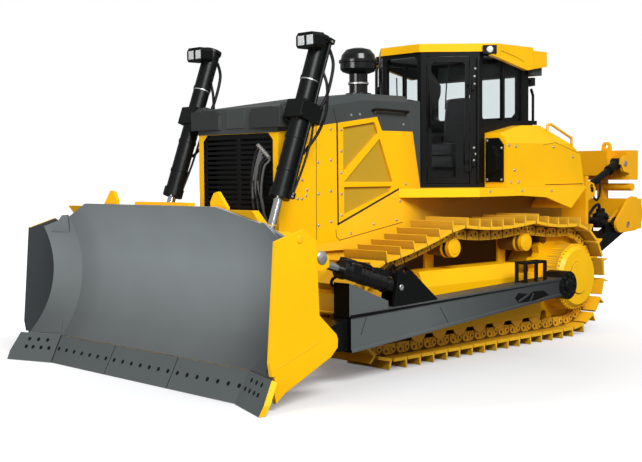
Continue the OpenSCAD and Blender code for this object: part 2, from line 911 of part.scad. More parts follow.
module door_body() {
    c = 8;
    on_door_wall() {
        difference() {
            block(door_s0 + c, door_s1 - c, 6, 6 + door_t, platform_z + 48, head_z - c);
            side(0, 60)
                door_window();
        }
        side(-14, 7)
            polygon([[door_s0 + 30, 3150], [door_s0 + 80, 3110], [door_s0 + 140, 3040], [door_s0 + 140,
                2935],
                [door_s0 + 100, 2815], [door_s0 + 30, 2790]]);
        for (z = [2090, 2990])
            for (dz = [-62, 62]) {
                translate([door_s1 + 4, -24, z + dz])
                    cylinder(h = 60, r = 20);
                block(door_s1 - 60, door_s1, -30, 7, z + dz, z + dz + 60);
            }
    }
}

module door_pane() {
    on_door_wall()
        side(18, 30)
            door_window();
}

module door_left() {
    color(black)
        door_body();
}

module door_right() {
    color(black)
        right()
            door_body();
}

module door_glass_left() {
    color(pane)
        door_pane();
}

module door_glass_right() {
    color(pane)
        right()
            door_pane();
}

module fender_platforms() {
    r = -430;
    low = platform_z - fender_lip;
    color(yellow)
        both() {
            translate([0, 0, platform_z - fender_t])
                linear_extrude(fender_t)
                    polygon([[r, body_hw], [platform_x, body_hw], [clip_x, fender_y], [r, fender_y]]);
            translate([0, 0, low])
                linear_extrude(fender_lip)
                    polygon([[platform_x, body_hw], [clip_x, fender_y], [clip_x - fender_t * 1.4, fender_y],
                        [platform_x - fender_t * 1.4, body_hw]]);
            side(fender_y - fender_t, fender_y)
                polygon([[clip_x - 1, low], [clip_x - 1, platform_z], [r, platform_z],
                    [r + 15, platform_z - 44], [-117, 1565], [401, 1710], [900, low]]);
            side(body_hw, fender_y)
                polygon([[r, platform_z], [r + 15, platform_z - 44], [-117, 1565], [-117, 1600],
                    [r + 40, platform_z]]);
        }
}

module side_tank() {
    intersection() {
        side(cab_hw + 6, tank_y)
            polygon([[tank_front, platform_z], [tank_front, 2480], [540, 2580], [160, 2590], [-460, 2240],
                [-tank_rear + 20, platform_z]]);
        across(-tank_rear, tank_front)
            polygon([[cab_hw + 6, platform_z], [tank_y, platform_z], [tank_y, 2360], [tank_y - 190, 2600],
                [cab_hw + 6, 2600]]);
    }
    rail([[90, tank_y - 110, 2480], [90, tank_y - 110, 2590], [20, tank_y - 110, 2605], [-430,
        tank_y - 110, 2440],
        [-450, tank_y - 110, 2180]], 16);
}

module side_tank_left() {
    color(yellow)
        side_tank();
}

module side_tank_right() {
    color(yellow)
        right()
            side_tank();
}

module rear_tank() {
    color(yellow)
        side(-cab_hw - 6, cab_hw + 6)
            polygon([[cab_rear, platform_z], [cab_rear, 2485], [-30, 2485], [-460, 2240],
                [-tank_rear + 20, platform_z]]);
}

// Push arms outside the tracks
module push_arm() {
    color(dark)
        difference() {
            union() {
                side(arm_y0, arm_y1)
                    polygon([[trunnion_x, trunnion_z - 110], [trunnion_x, trunnion_z + 100], [4230,
                        680], [4230, 320]]);
                for (y = [arm_y0 - 12, arm_y1 - 1])
                    side(y, y + 13) {
                        bar2d([trunnion_x + 100, trunnion_z + 82], [4230, 665], 30);
                        bar2d([trunnion_x + 100, trunnion_z - 100], [4230, 335], 30);
                    }
                rod_y(trunnion_x, trunnion_z, 165, arm_y0 - 6, arm_y1 + 20);
                side(arm_y0 + 55, arm_y1 - 55)
                    polygon([[4220, 330], [4220, 640], [blade_pin_x, blade_pin_z + 95], [blade_pin_x,
                        blade_pin_z - 95]]);
                rod_y(blade_pin_x, blade_pin_z, 95, arm_y0 + 55, arm_y1 - 55);
                for (y = [arm_y0 + 20, arm_y1 - 60])
                    side(y, y + 40)
                        polygon([[2900, 690], [3330, 1030], [3450, 1110], [3540, 1060], [3610, 690]]);
                side(arm_y0 + 10, arm_y1 - 10)
                    polygon([[3700, 680], [3700, 770], [4240, 980], [4240, 660]]);
                for (y = [arm_mid - 75, arm_mid + 45]) {
                    for (x = [1010, 1380])
                        block(x, x + 36, y, y + 30, 740, 1010);
                    block(1010, 1416, y, y + 30, 980, 1010);
                }
                for (x = [1010, 1195, 1380])
                    block(x, x + 36, arm_mid - 75, arm_mid + 75, 980, 1010);
            }
            rod_y(trunnion_x, trunnion_z, 75 + gap, arm_y0 - 10, arm_y1 - 20);
            rod_y(blade_pin_x, blade_pin_z, 45 + gap, arm_y0, arm_y1);
            rod_y(tilt_x, tilt_z, 38 + gap, arm_y0, arm_y1 + 1);
            rod_y(3440, 1050, 30, arm_y0, arm_y1 + 1);
        }
}

module push_arm_left() {
    push_arm();
}

module push_arm_right() {
    right()
        push_arm();
}

// Tilt cylinders from push arm to blade
arm_mid = (arm_y0 + arm_y1) / 2;
tilt_len = norm([tilt_bx - tilt_x, tilt_bz - tilt_z]);
tilt_ang = atan2(tilt_bz - tilt_z, tilt_bx - tilt_x);

module on_tilt() {
    translate([tilt_x, arm_mid, tilt_z])
        rotate([0, -tilt_ang, 0])
            children();
}

module tilt_barrel() {
    color(black)
        on_tilt()
            difference() {
                union() {
                    rod_y(0, 0, 75, -48, 48);
                    rod_y(0, 0, 38, -94, 94);
                    block(0, 120, -45, 45, -60, 60);
                    translate([110, 0, 0])
                        rotate([0, 90, 0])
                            cylinder(h = 690, r = tilt_r);
                    for (x = [110, 740])
                        translate([x, 0, 0])
                            rotate([0, 90, 0])
                                cylinder(h = 60, r = tilt_r + 12);
                    block(160, 330, -45, 45, 60, 125);
                    tube([320, 0, 100], [760, 0, 100], 16);
                    block(745, 795, -25, 25, 60, 120);
                }
                translate([200, 0, 0])
                    rotate([0, 90, 0])
                        cylinder(h = 700, r = 42 + gap);
            }
}

module tilt_rod() {
    color(steel)
        on_tilt() {
            translate([420, 0, 0])
                rotate([0, 90, 0])
                    cylinder(h = tilt_len - 460, r = 42);
            rod_y(tilt_len, 0, 70, -45, 45);
        }
}

module tilt_barrel_left() {
    tilt_barrel();
}

module tilt_barrel_right() {
    right()
        tilt_barrel();
}

module tilt_rod_left() {
    tilt_rod();
}

module tilt_rod_right() {
    right()
        tilt_rod();
}

// Lift cylinders from the nose yokes to the blade
lift_len = norm([lift_bx - yoke_x, lift_bz - yoke_z]);
lift_ang = -atan2(lift_bx - yoke_x, yoke_z - lift_bz);

module on_lift() {
    translate([yoke_x, lift_y, yoke_z])
        rotate([0, lift_ang, 0])
            children();
}

module lift_lamps() {
    translate([125, 25, lift_high - 105])
        rotate([0, -lift_ang, 0])
            difference() {
                across(-70, 90)
                    polygon([[-110, -75], [110, -75], [132, -45], [132, 45], [100, 80], [-100, 80],
                        [-132, 45], [-132, -45]]);
                for (y = [-64, 64])
                    block(76, 91, y - 52, y + 52, -52, 56);
            }
}

module lift_barrel() {
    color(black)
        on_lift()
            difference() {
                union() {
                    translate([0, 0, -lift_low])
                        cylinder(h = lift_low + lift_high, r = lift_r);
                    translate([0, 0, -lift_low])
                        cylinder(h = 90, r = lift_r + 16);
                    translate([0, 0, lift_high - 40])
                        cylinder(h = 40, r = lift_r + 12);
                    for (z = [-640, -300, 330])
                        translate([0, 0, z])
                            cylinder(h = 32, r = lift_r + 6);
                    block(-165, 110, -125, 122, -95, 95);
                    rod_y(0, 0, 60, -270, 0);
                    lift_lamps();
                    tube([-60, 95, -lift_low + 60], [-60, 95, lift_high - 20], 20);
                    block(-95, -25, 40, 125, -lift_low + 20, -lift_low + 80);
                    block(-95, -25, 40, 125, lift_high - 60, lift_high - 10);
                }
                translate([0, 0, -lift_low - 1])
                    cylinder(h = lift_low + lift_high - 50, r = lift_rod_r + gap);
            }
}

module lift_rod() {
    color(steel)
        on_lift() {
            translate([0, 0, -lift_len + 40])
                cylinder(h = lift_len - 40 - lift_low + 640, r = lift_rod_r);
            rod_y(0, -lift_len, 75, -50, 50);
        }
}

module lift_barrel_left() {
    lift_barrel();
}

module lift_barrel_right() {
    right()
        lift_barrel();
}

module lift_rod_left() {
    lift_rod();
}

module lift_rod_right() {
    right()
        lift_rod();
}

// Blade: a curved plate with wings turned forward
board_zc = (board_z0 + board_z1) / 2;
board_xc = board_x + sqrt(board_r * board_r - pow((board_z1 - board_z0) / 2, 2));

module at_fold() {
    translate([board_x, fold_y, 0])
        rotate([0, 0, -wing_deg])
            translate([-board_x, -fold_y, 0])
                children();
}

module inside_mitre(s) {
    translate([board_x, fold_y, 0])
        rotate([0, 0, -wing_deg / 2])
            translate([-2000, s > 0 ? 0 : -5000, -100])
                cube([4000, 5000, 2500]);
}

module curved_plate(r0, r1, y0, y1) {
    intersection() {
        difference() {
            rod_y(board_xc, board_zc, r1, y0, y1, $fn = 288);
            rod_y(board_xc, board_zc, r0, y0 - 1, y1 + 1, $fn = 288);
        }
        block(board_x - 600, board_x + 1, y0 - 2, y1 + 2, board_z0, board_z1);
    }
}

module top_cut() {
    both()
        across(board_x - 900, board_x + 900)
            polygon([[kink_y, board_z1], [end_y + 200, board_z2 - 60], [end_y + 200, board_z1 + 200],
                [kink_y, board_z1 + 200]]);
}

module blade_board() {
    color(grey)
        difference() {
            union() {
                difference() {
                    curved_plate(board_r, board_r + board_t, -fold_y - 120, fold_y + 120);
                    both()
                        translate([0, -gap, 0])
                            inside_mitre(1);
                }
                both()
                    difference() {
                        at_fold()
                            curved_plate(board_r, board_r + board_t, fold_y - 120, fold_y + 540);
                        inside_mitre(-1);
                        block(board_x - 900, board_x + 900, end_y - 40, end_y + 400, 0, 2000);
                    }
            }
            top_cut();
        }
}

module back_section() {
    polygon([[board_x - 20, board_z0 - 4], [board_x - 20, board_z1 - 30], [board_x - 150, board_z1 - 30],
        [board_x - 390, 1420], [board_x - 400, 700], [board_x - 370, 330], [board_x - 60, 120],
        [board_x + 90, 70]]);
}

module end_plate() {
    side(end_y - 40, end_y)
        polygon([[board_x + 114, board_z2], [board_x - 204, board_z2 + 94], [board_x - 352, board_z2 - 14],
            [board_x - 387, 775], [board_x - 590, 590], [board_x - 611, 548], [board_x - 605, 470],
                [board_x - 523, 394],
            [board_x + 20, 150], [board_x + 132, 70], [board_x + 192, 421]]);
}

module back_bands() {
    intersection() {
        back_section();
        translate([board_x - 900, 0])
            for (z = [[0, 640], [1180, 1510], [1560, 1700]])
                translate([0, z[0]])
                    square([2000, z[1] - z[0]]);
    }
}

// Guide ears and strip behind the top edge
module top_ears() {
    both()
        across(board_x - 235, board_x - 195)
            polygon([[lift_y - 90, 1585], [lift_y + 150, 1585], [lift_y + 150, 1710], [lift_y + 20, 1855],
                [lift_y - 40, 1840], [lift_y - 90, 1760]]);
    across(board_x - 275, board_x - 190)
        polygon([[-450, 1570], [450, 1570], [450, 1745], [-450, 1745]]);
}

module board_clear() {
    rod_y(board_xc, board_zc, board_r + board_t + gap, -3000, 3000, $fn = 288);
    side(-3000, 3000)
        polygon([[board_x - 27, board_z0 + 20], [board_x - 27, board_z0 - 16], [bit_x - edge_t - 8.5,
            edge_z],
            [bit_x - edge_t, -40], [board_x + 400, -40], [board_x + 400, board_z0 + 20]]);
}

module blade_back() {
    bx = board_x - 390;
    color(yellow) {
        difference() {
            union() {
                side(-fold_y + 60, fold_y - 60)
                    back_bands();
                for (y = [-1500, -1120, -760, -380, 0, 380, 760, 1120, 1500])
                    side(y - 15, y + 15)
                        back_section();
                top_ears();
            }
            board_clear();
            both() {
                inside_mitre(1);
                block(bx - 100, board_x, lift_y - 75, lift_y + 75, lift_bz - 190, lift_bz + 150);
            }
            translate([0, 0, 400])
                top_cut();
        }
        both() {
            difference() {
                at_fold()
                    difference() {
                        union() {
                            side(fold_y - 60, fold_y + 540)
                                back_bands();
                            side(fold_y + 200, fold_y + 230)
                                back_section();
                        }
                        board_clear();
                    }
                translate([0, gap, 0])
                    inside_mitre(-1);
                block(board_x - 900, board_x + 900, end_y - 39, end_y + 400, 0, 2000);
                top_cut();
            }
            difference() {
                end_plate();
                at_fold()
                    side(fold_y, fold_y + 900)
                        polygon([[board_x - 27, board_z0 - 16], [board_x - 27, board_z0 + 20],
                            [board_x + 700, board_z0 + 20],
                            [board_x + 700, -40], [bit_x - edge_t, -40], [bit_x - edge_t - 8.5, edge_z]]);
            }
            for (y = [lift_y - 115, lift_y + 75])
                side(y, y + 40)
                    polygon([[lift_bx - 95, lift_bz - 60], [lift_bx - 95, lift_bz + 60], [lift_bx + 10,
                        lift_bz + 170],
                        [board_x - 345, lift_bz + 170], [board_x - 345, lift_bz - 150], [lift_bx,
                            lift_bz - 150]]);
            for (y = [arm_y0 + 8, arm_y1 - 48])
                side(y, y + 40)
                    polygon([[blade_pin_x - 80, blade_pin_z - 70], [blade_pin_x - 80, blade_pin_z + 70],
                        [blade_pin_x - 20, blade_pin_z + 110], [bx + 60, blade_pin_z + 150], [bx + 60,
                            blade_pin_z - 60],
                        [blade_pin_x - 10, blade_pin_z - 110]]);
            rod_y(blade_pin_x, blade_pin_z, 45, arm_y0 + 8, arm_y1 - 8);
            for (y = [arm_mid - 100, arm_mid + 60])
                side(y, y + 40)
                    polygon([[tilt_bx - 75, tilt_bz - 50], [tilt_bx - 75, tilt_bz + 50], [tilt_bx,
                        tilt_bz + 85],
                        [bx + 68, tilt_bz + 180], [bx + 68, tilt_bz - 20], [tilt_bx, tilt_bz - 85]]);
        }
    }
}

// Three straight edges and two end bits along the wings
module edge_section() {
    polygon([[board_x + 10, board_z0 - 2], [bit_x, edge_z], [bit_x - edge_t - 8, edge_z],
        [board_x + 10 - edge_t + 4, board_z0 - 16]]);
}

module bit_section() {
    polygon([[board_x + 10, board_z0 - 2], [board_x + 24, board_z0 + 4], [bit_x + bit_proud, edge_z],
        [bit_x - edge_t - 8, edge_z], [board_x + 10 - edge_t + 4, board_z0 - 16]]);
}

module cutting_edges() {
    w = fold_y * 2 / 3;
    color(steel) {
        for (i = [-1, 0, 1])
            difference() {
                side(i * w - w / 2 + 2 - (i < 0 ? 100 : 0), i * w + w / 2 - 2 + (i > 0 ? 100 : 0))
                    edge_section();
                both()
                    translate([0, -2, 0])
                        inside_mitre(1);
            }
        both()
            difference() {
                at_fold()
                    difference() {
                        side(fold_y - 100, fold_y + bit_len)
                            bit_section();
                        across(board_x - 200, board_x + 400)
                            polygon([[fold_y + bit_len - 75, board_z0 + 10], [fold_y + bit_len + 1,
                                board_z0 + 10],
                                [fold_y + bit_len + 1, 90]]);
                    }
                inside_mitre(-1);
            }
    }
}

// Ripper on the rear of the hull
mount_x = hull_rear + 60;
mount_hw = rip_y + 120;
ear_t = 45;

module ears() {
    for (y = [rip_y - 120, rip_y + 120 - ear_t])
        side(y, y + ear_t)
            children();
}

module ripper_mount() {
    color(yellow)
        difference() {
            union() {
                block(-mount_x, -hull_rear, -mount_hw, mount_hw, 780, 1960);
                both() {
                    ears()
                        polygon([[-mount_x + 1, 820], [-rip_x - 70, 850], [-rip_x - 90, 960],
                            [-rip_x - 40, 1060],
                            [-mount_x + 1, 1200]]);
                    ears()
                        polygon([[-mount_x + 1, 1640], [-rip_ux - 60, 1700], [-rip_ux - 80, 1800],
                            [-rip_ux - 40, 1860],
                            [-mount_x + 1, 1900]]);
                    for (y = [430, 545])
                        side(y, y + 25)
                            polygon([[-mount_x + 1, 1700], [-rip_lx - 55, 1760], [-rip_lx - 55, 1870],
                                [-mount_x + 1, 1940]]);
                }
            }
            rod_y(-rip_x, rip_z, 45 + gap, -mount_hw - 1, mount_hw + 1);
            rod_y(-rip_ux, rip_uz, 36 + gap, -mount_hw - 1, mount_hw + 1);
            rod_y(-rip_lx, rip_lz, 34 + gap, -mount_hw - 1, mount_hw + 1);
        }
}

module bar2d(p, q, w) {
    d = (q - p) / norm(q - p);
    n = [-d[1], d[0]] * w / 2;
    polygon([p + n, p - n, q - n, q + n]);
}

p1 = [-rip_x, rip_z];
p2 = [-rip_x - rip_dx, rip_z + rip_dz];
p3 = [-rip_ux, rip_uz];
p4 = p3 + p2 - p1;
lift_a = [-rip_lx, rip_lz];
lift_b = p1 + (p2 - p1) * 0.76 + [0, 90];

module ripper_links() {
    color(yellow)
        difference() {
            union() {
                both() {
                    side(rip_y - 70, rip_y + 70)
                        bar2d(p1, p2, 190);
                    rod_y(p1[0], p1[1], 105, rip_y - 70, rip_y + 70);
                    rod_y(p2[0], p2[1], 105, rip_y - 70, rip_y + 70);
                    rod_y(p1[0], p1[1], 45, rip_y - 120, rip_y + 120);
                    rod_y(p2[0], p2[1], 45, rip_y - 120, rip_y + 120);
                    for (y = [430, 545])
                        side(y, y + 25)
                            polygon([lift_b + [-70, -150], lift_b + [-60, 60], lift_b + [60, 60],
                                lift_b + [200, -230]]);
                }
                side(-rip_y, rip_y)
                    bar2d(p1 + (p2 - p1) * 0.24 + [0, -50], p1 + (p2 - p1) * 0.82 + [0, -50], 60);
            }
            rod_y(lift_b[0], lift_b[1], 34 + gap, -600, 600);
        }
}

function arm_of(a) = [cos(a), sin(a)];

module ripper_beam() {
    bx = p2[0] - 110;
    z = p2[1];
    color(yellow)
        difference() {
            union() {
                block(-beam_xr + 20, bx, -rip_beam_hw + 1, rip_beam_hw - 1, z - 60, z + 350);
                block(-beam_xr + 90, -1850, -rip_y - 120, rip_y + 120, 1900, 2300);
                block(-1851, -1660, -rip_y + 121, rip_y - 121, 1960, 2300);
                both() {
                    block(-beam_xr + 90, bx, 480, 560, z + 340, 1901);
                    rod_y(-1960, 1800, 50, 60, rip_y + 100);
                    side(rip_beam_hw - 40, rip_beam_hw)
                        polygon(concat([for (i = [0 : 11]) p2 + [-140, 150] + 235 * arm_of(46 + i * 20.2)],
                            [for (i = [0 : 6]) p2 + [190, 10] + 105 * arm_of(-92 + i * 23)]));
                    ears()
                        polygon([[bx - 1, z + 200], p2 + [70, 70], p2 + [90, -40], p2 + [40, -100],
                            [bx - 1, z - 60]]);
                    ears()
                        polygon([[-1851, 1985], p4 + [40, -105], p4 + [90, -20], p4 + [70, 70],
                            p4 + [-10, 110], [-1851, 2230]]);
                }
            }
            rod_y(p2[0], p2[1], 45 + gap, -1200, 1200);
            rod_y(p4[0], p4[1], 36 + gap, -1200, 1200);
            block(-beam_xr + 80, -beam_xr + 250, -shank_t / 2 - gap, shank_t / 2 + gap, 0, 3000);
        }
}

// Lifting eyes on top of the beam
module lifting_eyes() {
    color(yellow)
        for (s = [-1, 1])
            difference() {
                across(-1970, -1930)
                    polygon([[s * 600 - 75, 2300], [s * 600 + 75, 2300], [s * 600 + 65, 2380],
                        [s * 600 + 35, 2420],
                        [s * 600 - 35, 2420], [s * 600 - 65, 2380]]);
                translate([-2000, s * 600, 2360])
                    rotate([0, 90, 0])
                        cylinder(h = 100, r = 30);
            }
}

module ripper_shank() {
    x0 = -beam_xr + 80;
    x1 = -beam_xr + 250;
    color(dark)
        side(-shank_t / 2, shank_t / 2)
            polygon([[x0 + gap, 1950], [x1 - gap, 1950], [x1 - gap, 900], [x1 + 60, 700], [x1 + 220,
                shank_z],
                [x1 + 90, shank_z + 20], [x0 + 40, 640], [x0 + gap, 860]]);
}

module ripper_tilt_cylinders() {
    d = (p4 - p3) / norm(p4 - p3);
    color(black)
        both() {
            for (p = [p3, p4]) {
                rod_y(p[0], p[1], 75, rip_y - 70, rip_y + 70);
                rod_y(p[0], p[1], 36, rip_y - 120, rip_y + 120);
            }
            translate([p3[0], rip_y, p3[1]])
                rotate([0, -atan2(d[1], d[0]), 0]) {
                    translate([norm(p4 - p3) - 250, 0, 0])
                        rotate([0, 90, 0])
                            cylinder(h = 190, r = 66);
                    rotate([0, 90, 0])
                        cylinder(h = norm(p4 - p3), r = 48);
                }
        }
}

lift_d = norm(lift_b - lift_a);
lift_t = atan2(lift_b[1] - lift_a[1], lift_b[0] - lift_a[0]);

module on_rip_lift() {
    translate([lift_a[0], 500, lift_a[1]])
        rotate([0, -lift_t, 0])
            children();
}

module ripper_lift_barrels() {
    color(black)
        both()
            on_rip_lift()
                difference() {
                    union() {
                        rod_y(0, 0, 60, -40, 40);
                        rod_y(0, 0, 34, -69, 69);
                        rotate([0, 90, 0])
                            cylinder(h = 140, r = 36);
                        translate([120, 0, 0])
                            rotate([0, 90, 0])
                                cylinder(h = lift_d - 300, r = 68);
                    }
                    translate([150, 0, 0])
                        rotate([0, 90, 0])
                            cylinder(h = 1000, r = 34 + gap);
                }
}

module ripper_lift_rods() {
    color(steel)
        both()
            on_rip_lift() {
                translate([160, 0, 0])
                    rotate([0, 90, 0])
                        cylinder(h = lift_d - 180, r = 34);
                rod_y(lift_d, 0, 55, -40, 40);
            }
}

translate([-x_mid, 0, 0]) main_frame();
translate([-x_mid, 0, 0]) engine_block();
translate([-x_mid, 0, 0]) radiator_guard();
translate([-x_mid, 0, 0]) front_grille();
translate([-x_mid, 0, 0]) nose_crossbar();
translate([-x_mid, 0, 0]) hood_top();
translate([-x_mid, 0, 0]) rear_cowl();
translate([-x_mid, 0, 0]) engine_panels();
translate([-x_mid, 0, 0]) panel_meshes();
translate([-x_mid, 0, 0]) intake_stack();
translate([-x_mid, 0, 0]) cab_frame();
translate([-x_mid, 0, 0]) cab_glass();
translate([-x_mid, 0, 0]) cab_roof();
translate([-x_mid, 0, 0]) roof_unit();
translate([-x_mid, 0, 0]) work_lamps();
translate([-x_mid, 0, 0]) door_stops();
translate([-x_mid, 0, 0]) operator_seat();
translate([-x_mid, 0, 0]) control_console();
translate([-x_mid, 0, 0]) fender_platforms();
translate([-x_mid, 0, 0]) side_tank_left();
translate([-x_mid, 0, 0]) side_tank_right();
translate([-x_mid, 0, 0]) rear_tank();
translate([-x_mid, 0, 0]) track_left();
translate([-x_mid, 0, 0]) track_right();
translate([-x_mid, 0, 0]) track_frames();
translate([-x_mid, 0, 0]) track_rollers();
translate([-x_mid, 0, 0]) idlers();
translate([-x_mid, 0, 0]) final_drives();
translate([-x_mid, 0, 0]) frame_crossbars();
translate([-x_mid, 0, 0]) ripper_mount();
translate([-x_mid, 0, 0]) push_arm_left();
translate([-x_mid, 0, 0]) push_arm_right();
translate([-x_mid, 0, 0]) blade_board();
translate([-x_mid, 0, 0]) blade_back();
translate([-x_mid, 0, 0]) cutting_edges();
translate([-x_mid, 0, 0]) lift_barrel_left();
translate([-x_mid, 0, 0]) lift_barrel_right();
translate([-x_mid, 0, 0]) lift_rod_left();
translate([-x_mid, 0, 0]) lift_rod_right();
translate([-x_mid, 0, 0]) tilt_barrel_left();
translate([-x_mid, 0, 0]) tilt_barrel_right();
translate([-x_mid, 0, 0]) tilt_rod_left();
translate([-x_mid, 0, 0]) tilt_rod_right();
translate([-x_mid, 0, 0]) door_left();
translate([-x_mid, 0, 0]) door_right();
translate([-x_mid, 0, 0]) door_glass_left();
translate([-x_mid, 0, 0]) door_glass_right();
translate([-x_mid, 0, 0]) ripper_links();
translate([-x_mid, 0, 0]) ripper_beam();
translate([-x_mid, 0, 0]) lifting_eyes();
translate([-x_mid, 0, 0]) ripper_shank();
translate([-x_mid, 0, 0]) ripper_tilt_cylinders();
translate([-x_mid, 0, 0]) ripper_lift_barrels();
translate([-x_mid, 0, 0]) ripper_lift_rods();
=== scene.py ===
import json
import math

import bmesh
import bpy
from mathutils import Matrix, Vector


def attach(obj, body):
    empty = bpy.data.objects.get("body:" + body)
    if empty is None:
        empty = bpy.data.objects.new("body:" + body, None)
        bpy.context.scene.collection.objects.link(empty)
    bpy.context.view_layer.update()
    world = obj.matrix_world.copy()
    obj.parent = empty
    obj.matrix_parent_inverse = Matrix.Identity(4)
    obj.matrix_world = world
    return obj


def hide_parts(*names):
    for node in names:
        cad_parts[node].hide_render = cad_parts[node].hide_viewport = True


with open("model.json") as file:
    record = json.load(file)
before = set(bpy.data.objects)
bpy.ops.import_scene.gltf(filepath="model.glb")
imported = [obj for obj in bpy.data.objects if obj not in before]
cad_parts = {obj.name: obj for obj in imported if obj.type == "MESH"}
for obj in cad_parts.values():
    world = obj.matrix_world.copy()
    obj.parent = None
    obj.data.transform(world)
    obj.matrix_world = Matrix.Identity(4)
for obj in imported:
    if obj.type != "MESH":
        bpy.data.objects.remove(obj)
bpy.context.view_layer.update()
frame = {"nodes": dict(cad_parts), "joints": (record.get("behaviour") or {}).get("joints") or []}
nodes = frame["nodes"]
joints = {j["name"]: j for j in frame["joints"]}


# Hull, nose, engine panels and platforms: welded sheet steel, sprayed in a glossy yellow
# two-coat enamel. The bevel in the coat rounds each folded edge, which is lighter where the paint
# is a little thinner and as a painted highlight, and the inner corners are darker with road dust and painted
# shade.
def fill(tree, sockets, values):
    """Each socket takes a value, or a link from a socket or from the first output of a node."""
    for label, value in values:
        if isinstance(value, bpy.types.Node):
            value = value.outputs[0]
        if isinstance(value, bpy.types.NodeSocket):
            tree.links.new(value, sockets[label])
        else:
            sockets[label].default_value = value


def node(tree, kind, values=(), **settings):
    made = tree.nodes.new(kind)
    for key, value in settings.items():
        setattr(made, key, value)
    fill(tree, made.inputs, values)
    return made


def new_group(name, tree_kind, inputs, outputs):
    """An empty node group, with the sockets that it is given and those of its result."""
    group = bpy.data.node_groups.new(name, tree_kind)
    for way, sockets in (("INPUT", inputs), ("OUTPUT", outputs)):
        for label, kind in sockets:
            group.interface.new_socket(label, in_out=way, socket_type="NodeSocket" + kind)
    given = group.nodes.new("NodeGroupInput").outputs
    return group, given, group.nodes.new("NodeGroupOutput").inputs


def object_place(tree):
    return node(tree, "ShaderNodeTexCoord").outputs["Object"]


def noise(tree, place, scale, detail=2.0):
    values = [("Vector", place), ("Scale", scale), ("Detail", detail)]
    return node(tree, "ShaderNodeTexNoise", values).outputs["Fac"]


def remap(tree, value, start, end, low=0.0, high=1.0):
    """The value's way from start to end, spread from low to high."""
    values = [("Value", value), ("From Min", start), ("From Max", end), ("To Min", low), ("To Max", high)]
    return node(tree, "ShaderNodeMapRange", values).outputs[0]


def maths(tree, operation, *values, **settings):
    return node(tree, "ShaderNodeMath", enumerate(values), operation=operation, **settings).outputs[0]


def mix(tree, share, first, second, **settings):
    values = [(0, share), (6, first), (7, second)]
    return node(tree, "ShaderNodeMix", values, data_type="RGBA", **settings).outputs[2]


def bumps(tree, strength, distance, height, values=()):
    values = [("Strength", strength), ("Distance", distance), ("Height", height), *values]
    return node(tree, "ShaderNodeBump", values).outputs[0]


def sprayed_coat_group():
    group, given, result = new_group(
        "Sprayed coat", "ShaderNodeTree",
        [("Colour", "Color"), ("Thin and Highlit Colour", "Color"), ("Dust and Shade Colour", "Color"), ("Edge Amount", "Float"),
         ("Dust and Shade Amount", "Float"), ("Edge Radius", "Float"), ("Base Roughness", "Float"), ("Peel", "Float")],
        [("Colour", "Color"), ("Roughness", "Float"), ("Normal", "Vector")])
    place = object_place(group)
    cloud = noise(group, place, 1.7, 4.0)
    fine = noise(group, place, 34.0, 5.0)
    orange_peel = noise(group, place, 420.0, 1.0)
    # Bevelled edges take a lighter colour: thinner paint, and a painted highlight.
    rounded = node(group, "ShaderNodeBevel", [("Radius", given["Edge Radius"])], samples=4).outputs["Normal"]
    flat = node(group, "ShaderNodeNewGeometry").outputs["Normal"]
    facing = node(group, "ShaderNodeVectorMath", [(0, rounded), (1, flat)], operation="DOT_PRODUCT")
    edge = remap(group, facing.outputs["Value"], 0.995, 0.86)
    edge = maths(group, "MULTIPLY", edge, given["Edge Amount"])
    # Hollows found by ambient occlusion darken: road dust, and painted shade.
    corner = node(group, "ShaderNodeAmbientOcclusion", [("Distance", 0.16)], samples=4).outputs["AO"]
    hollow = remap(group, corner, 0.85, 0.25)
    patchy = maths(group, "MULTIPLY", hollow, fine)
    dust_and_shade = maths(group, "MULTIPLY", patchy, given["Dust and Shade Amount"], use_clamp=True)
    shade = remap(group, cloud, 0.3, 0.7, 0.95, 1.03)
    toned = node(group, "ShaderNodeVectorMath", [(0, given["Colour"]), ("Scale", shade)], operation="SCALE")
    worn_and_highlit = mix(group, edge, toned, given["Thin and Highlit Colour"])
    dusty_and_shaded = mix(group, dust_and_shade, worn_and_highlit, given["Dust and Shade Colour"])
    rough = maths(group, "MULTIPLY_ADD", fine, 0.14, given["Base Roughness"])
    rough = maths(group, "MULTIPLY_ADD", dust_and_shade, 0.3, rough)
    normal = bumps(group, given["Peel"], 0.002, orange_peel, [("Normal", rounded)])
    fill(group, result, [("Colour", dusty_and_shaded), ("Roughness", rough), ("Normal", normal)])
    return group


sprayed_coat = sprayed_coat_group()


def fresh_material(name):
    """A new material, its tree and the sockets of its Principled BSDF."""
    material = bpy.data.materials.new(name)
    material.use_nodes = True
    tree = material.node_tree
    return material, tree, tree.nodes["Principled BSDF"].inputs


def coated(name, colour, thin_and_highlit, dusty_and_shaded=0.3, edge=0.35, roughness=0.3, metallic=0.0, radius=0.006,
           peel=0.05, dust_and_shade=(0.24, 0.15, 0.07), specular=0.5, coat=0.0):
    """A finish from the sprayed coat: its colour, that of its thin edges with their painted highlight, and
    the dust and painted shade in its corners.
    """
    material, tree, shader = fresh_material(name)
    layer = node(tree, "ShaderNodeGroup", [
        ("Colour", (*colour, 1)), ("Thin and Highlit Colour", (*thin_and_highlit, 1)), ("Dust and Shade Colour", (*dust_and_shade, 1)),
        ("Edge Amount", edge), ("Dust and Shade Amount", dusty_and_shaded), ("Edge Radius", radius),
        ("Base Roughness", roughness), ("Peel", peel)], node_tree=sprayed_coat).outputs
    fill(tree, shader, [("Metallic", metallic), ("Specular IOR Level", specular), ("Coat Weight", coat),
                        ("Coat Roughness", 0.12), ("Base Color", layer["Colour"]),
                        ("Roughness", layer["Roughness"]), ("Normal", layer["Normal"])])
    return material


def finish_nodes(material, *names):
    for name in names:
        nodes[name].data.materials.clear()
        nodes[name].data.materials.append(material)


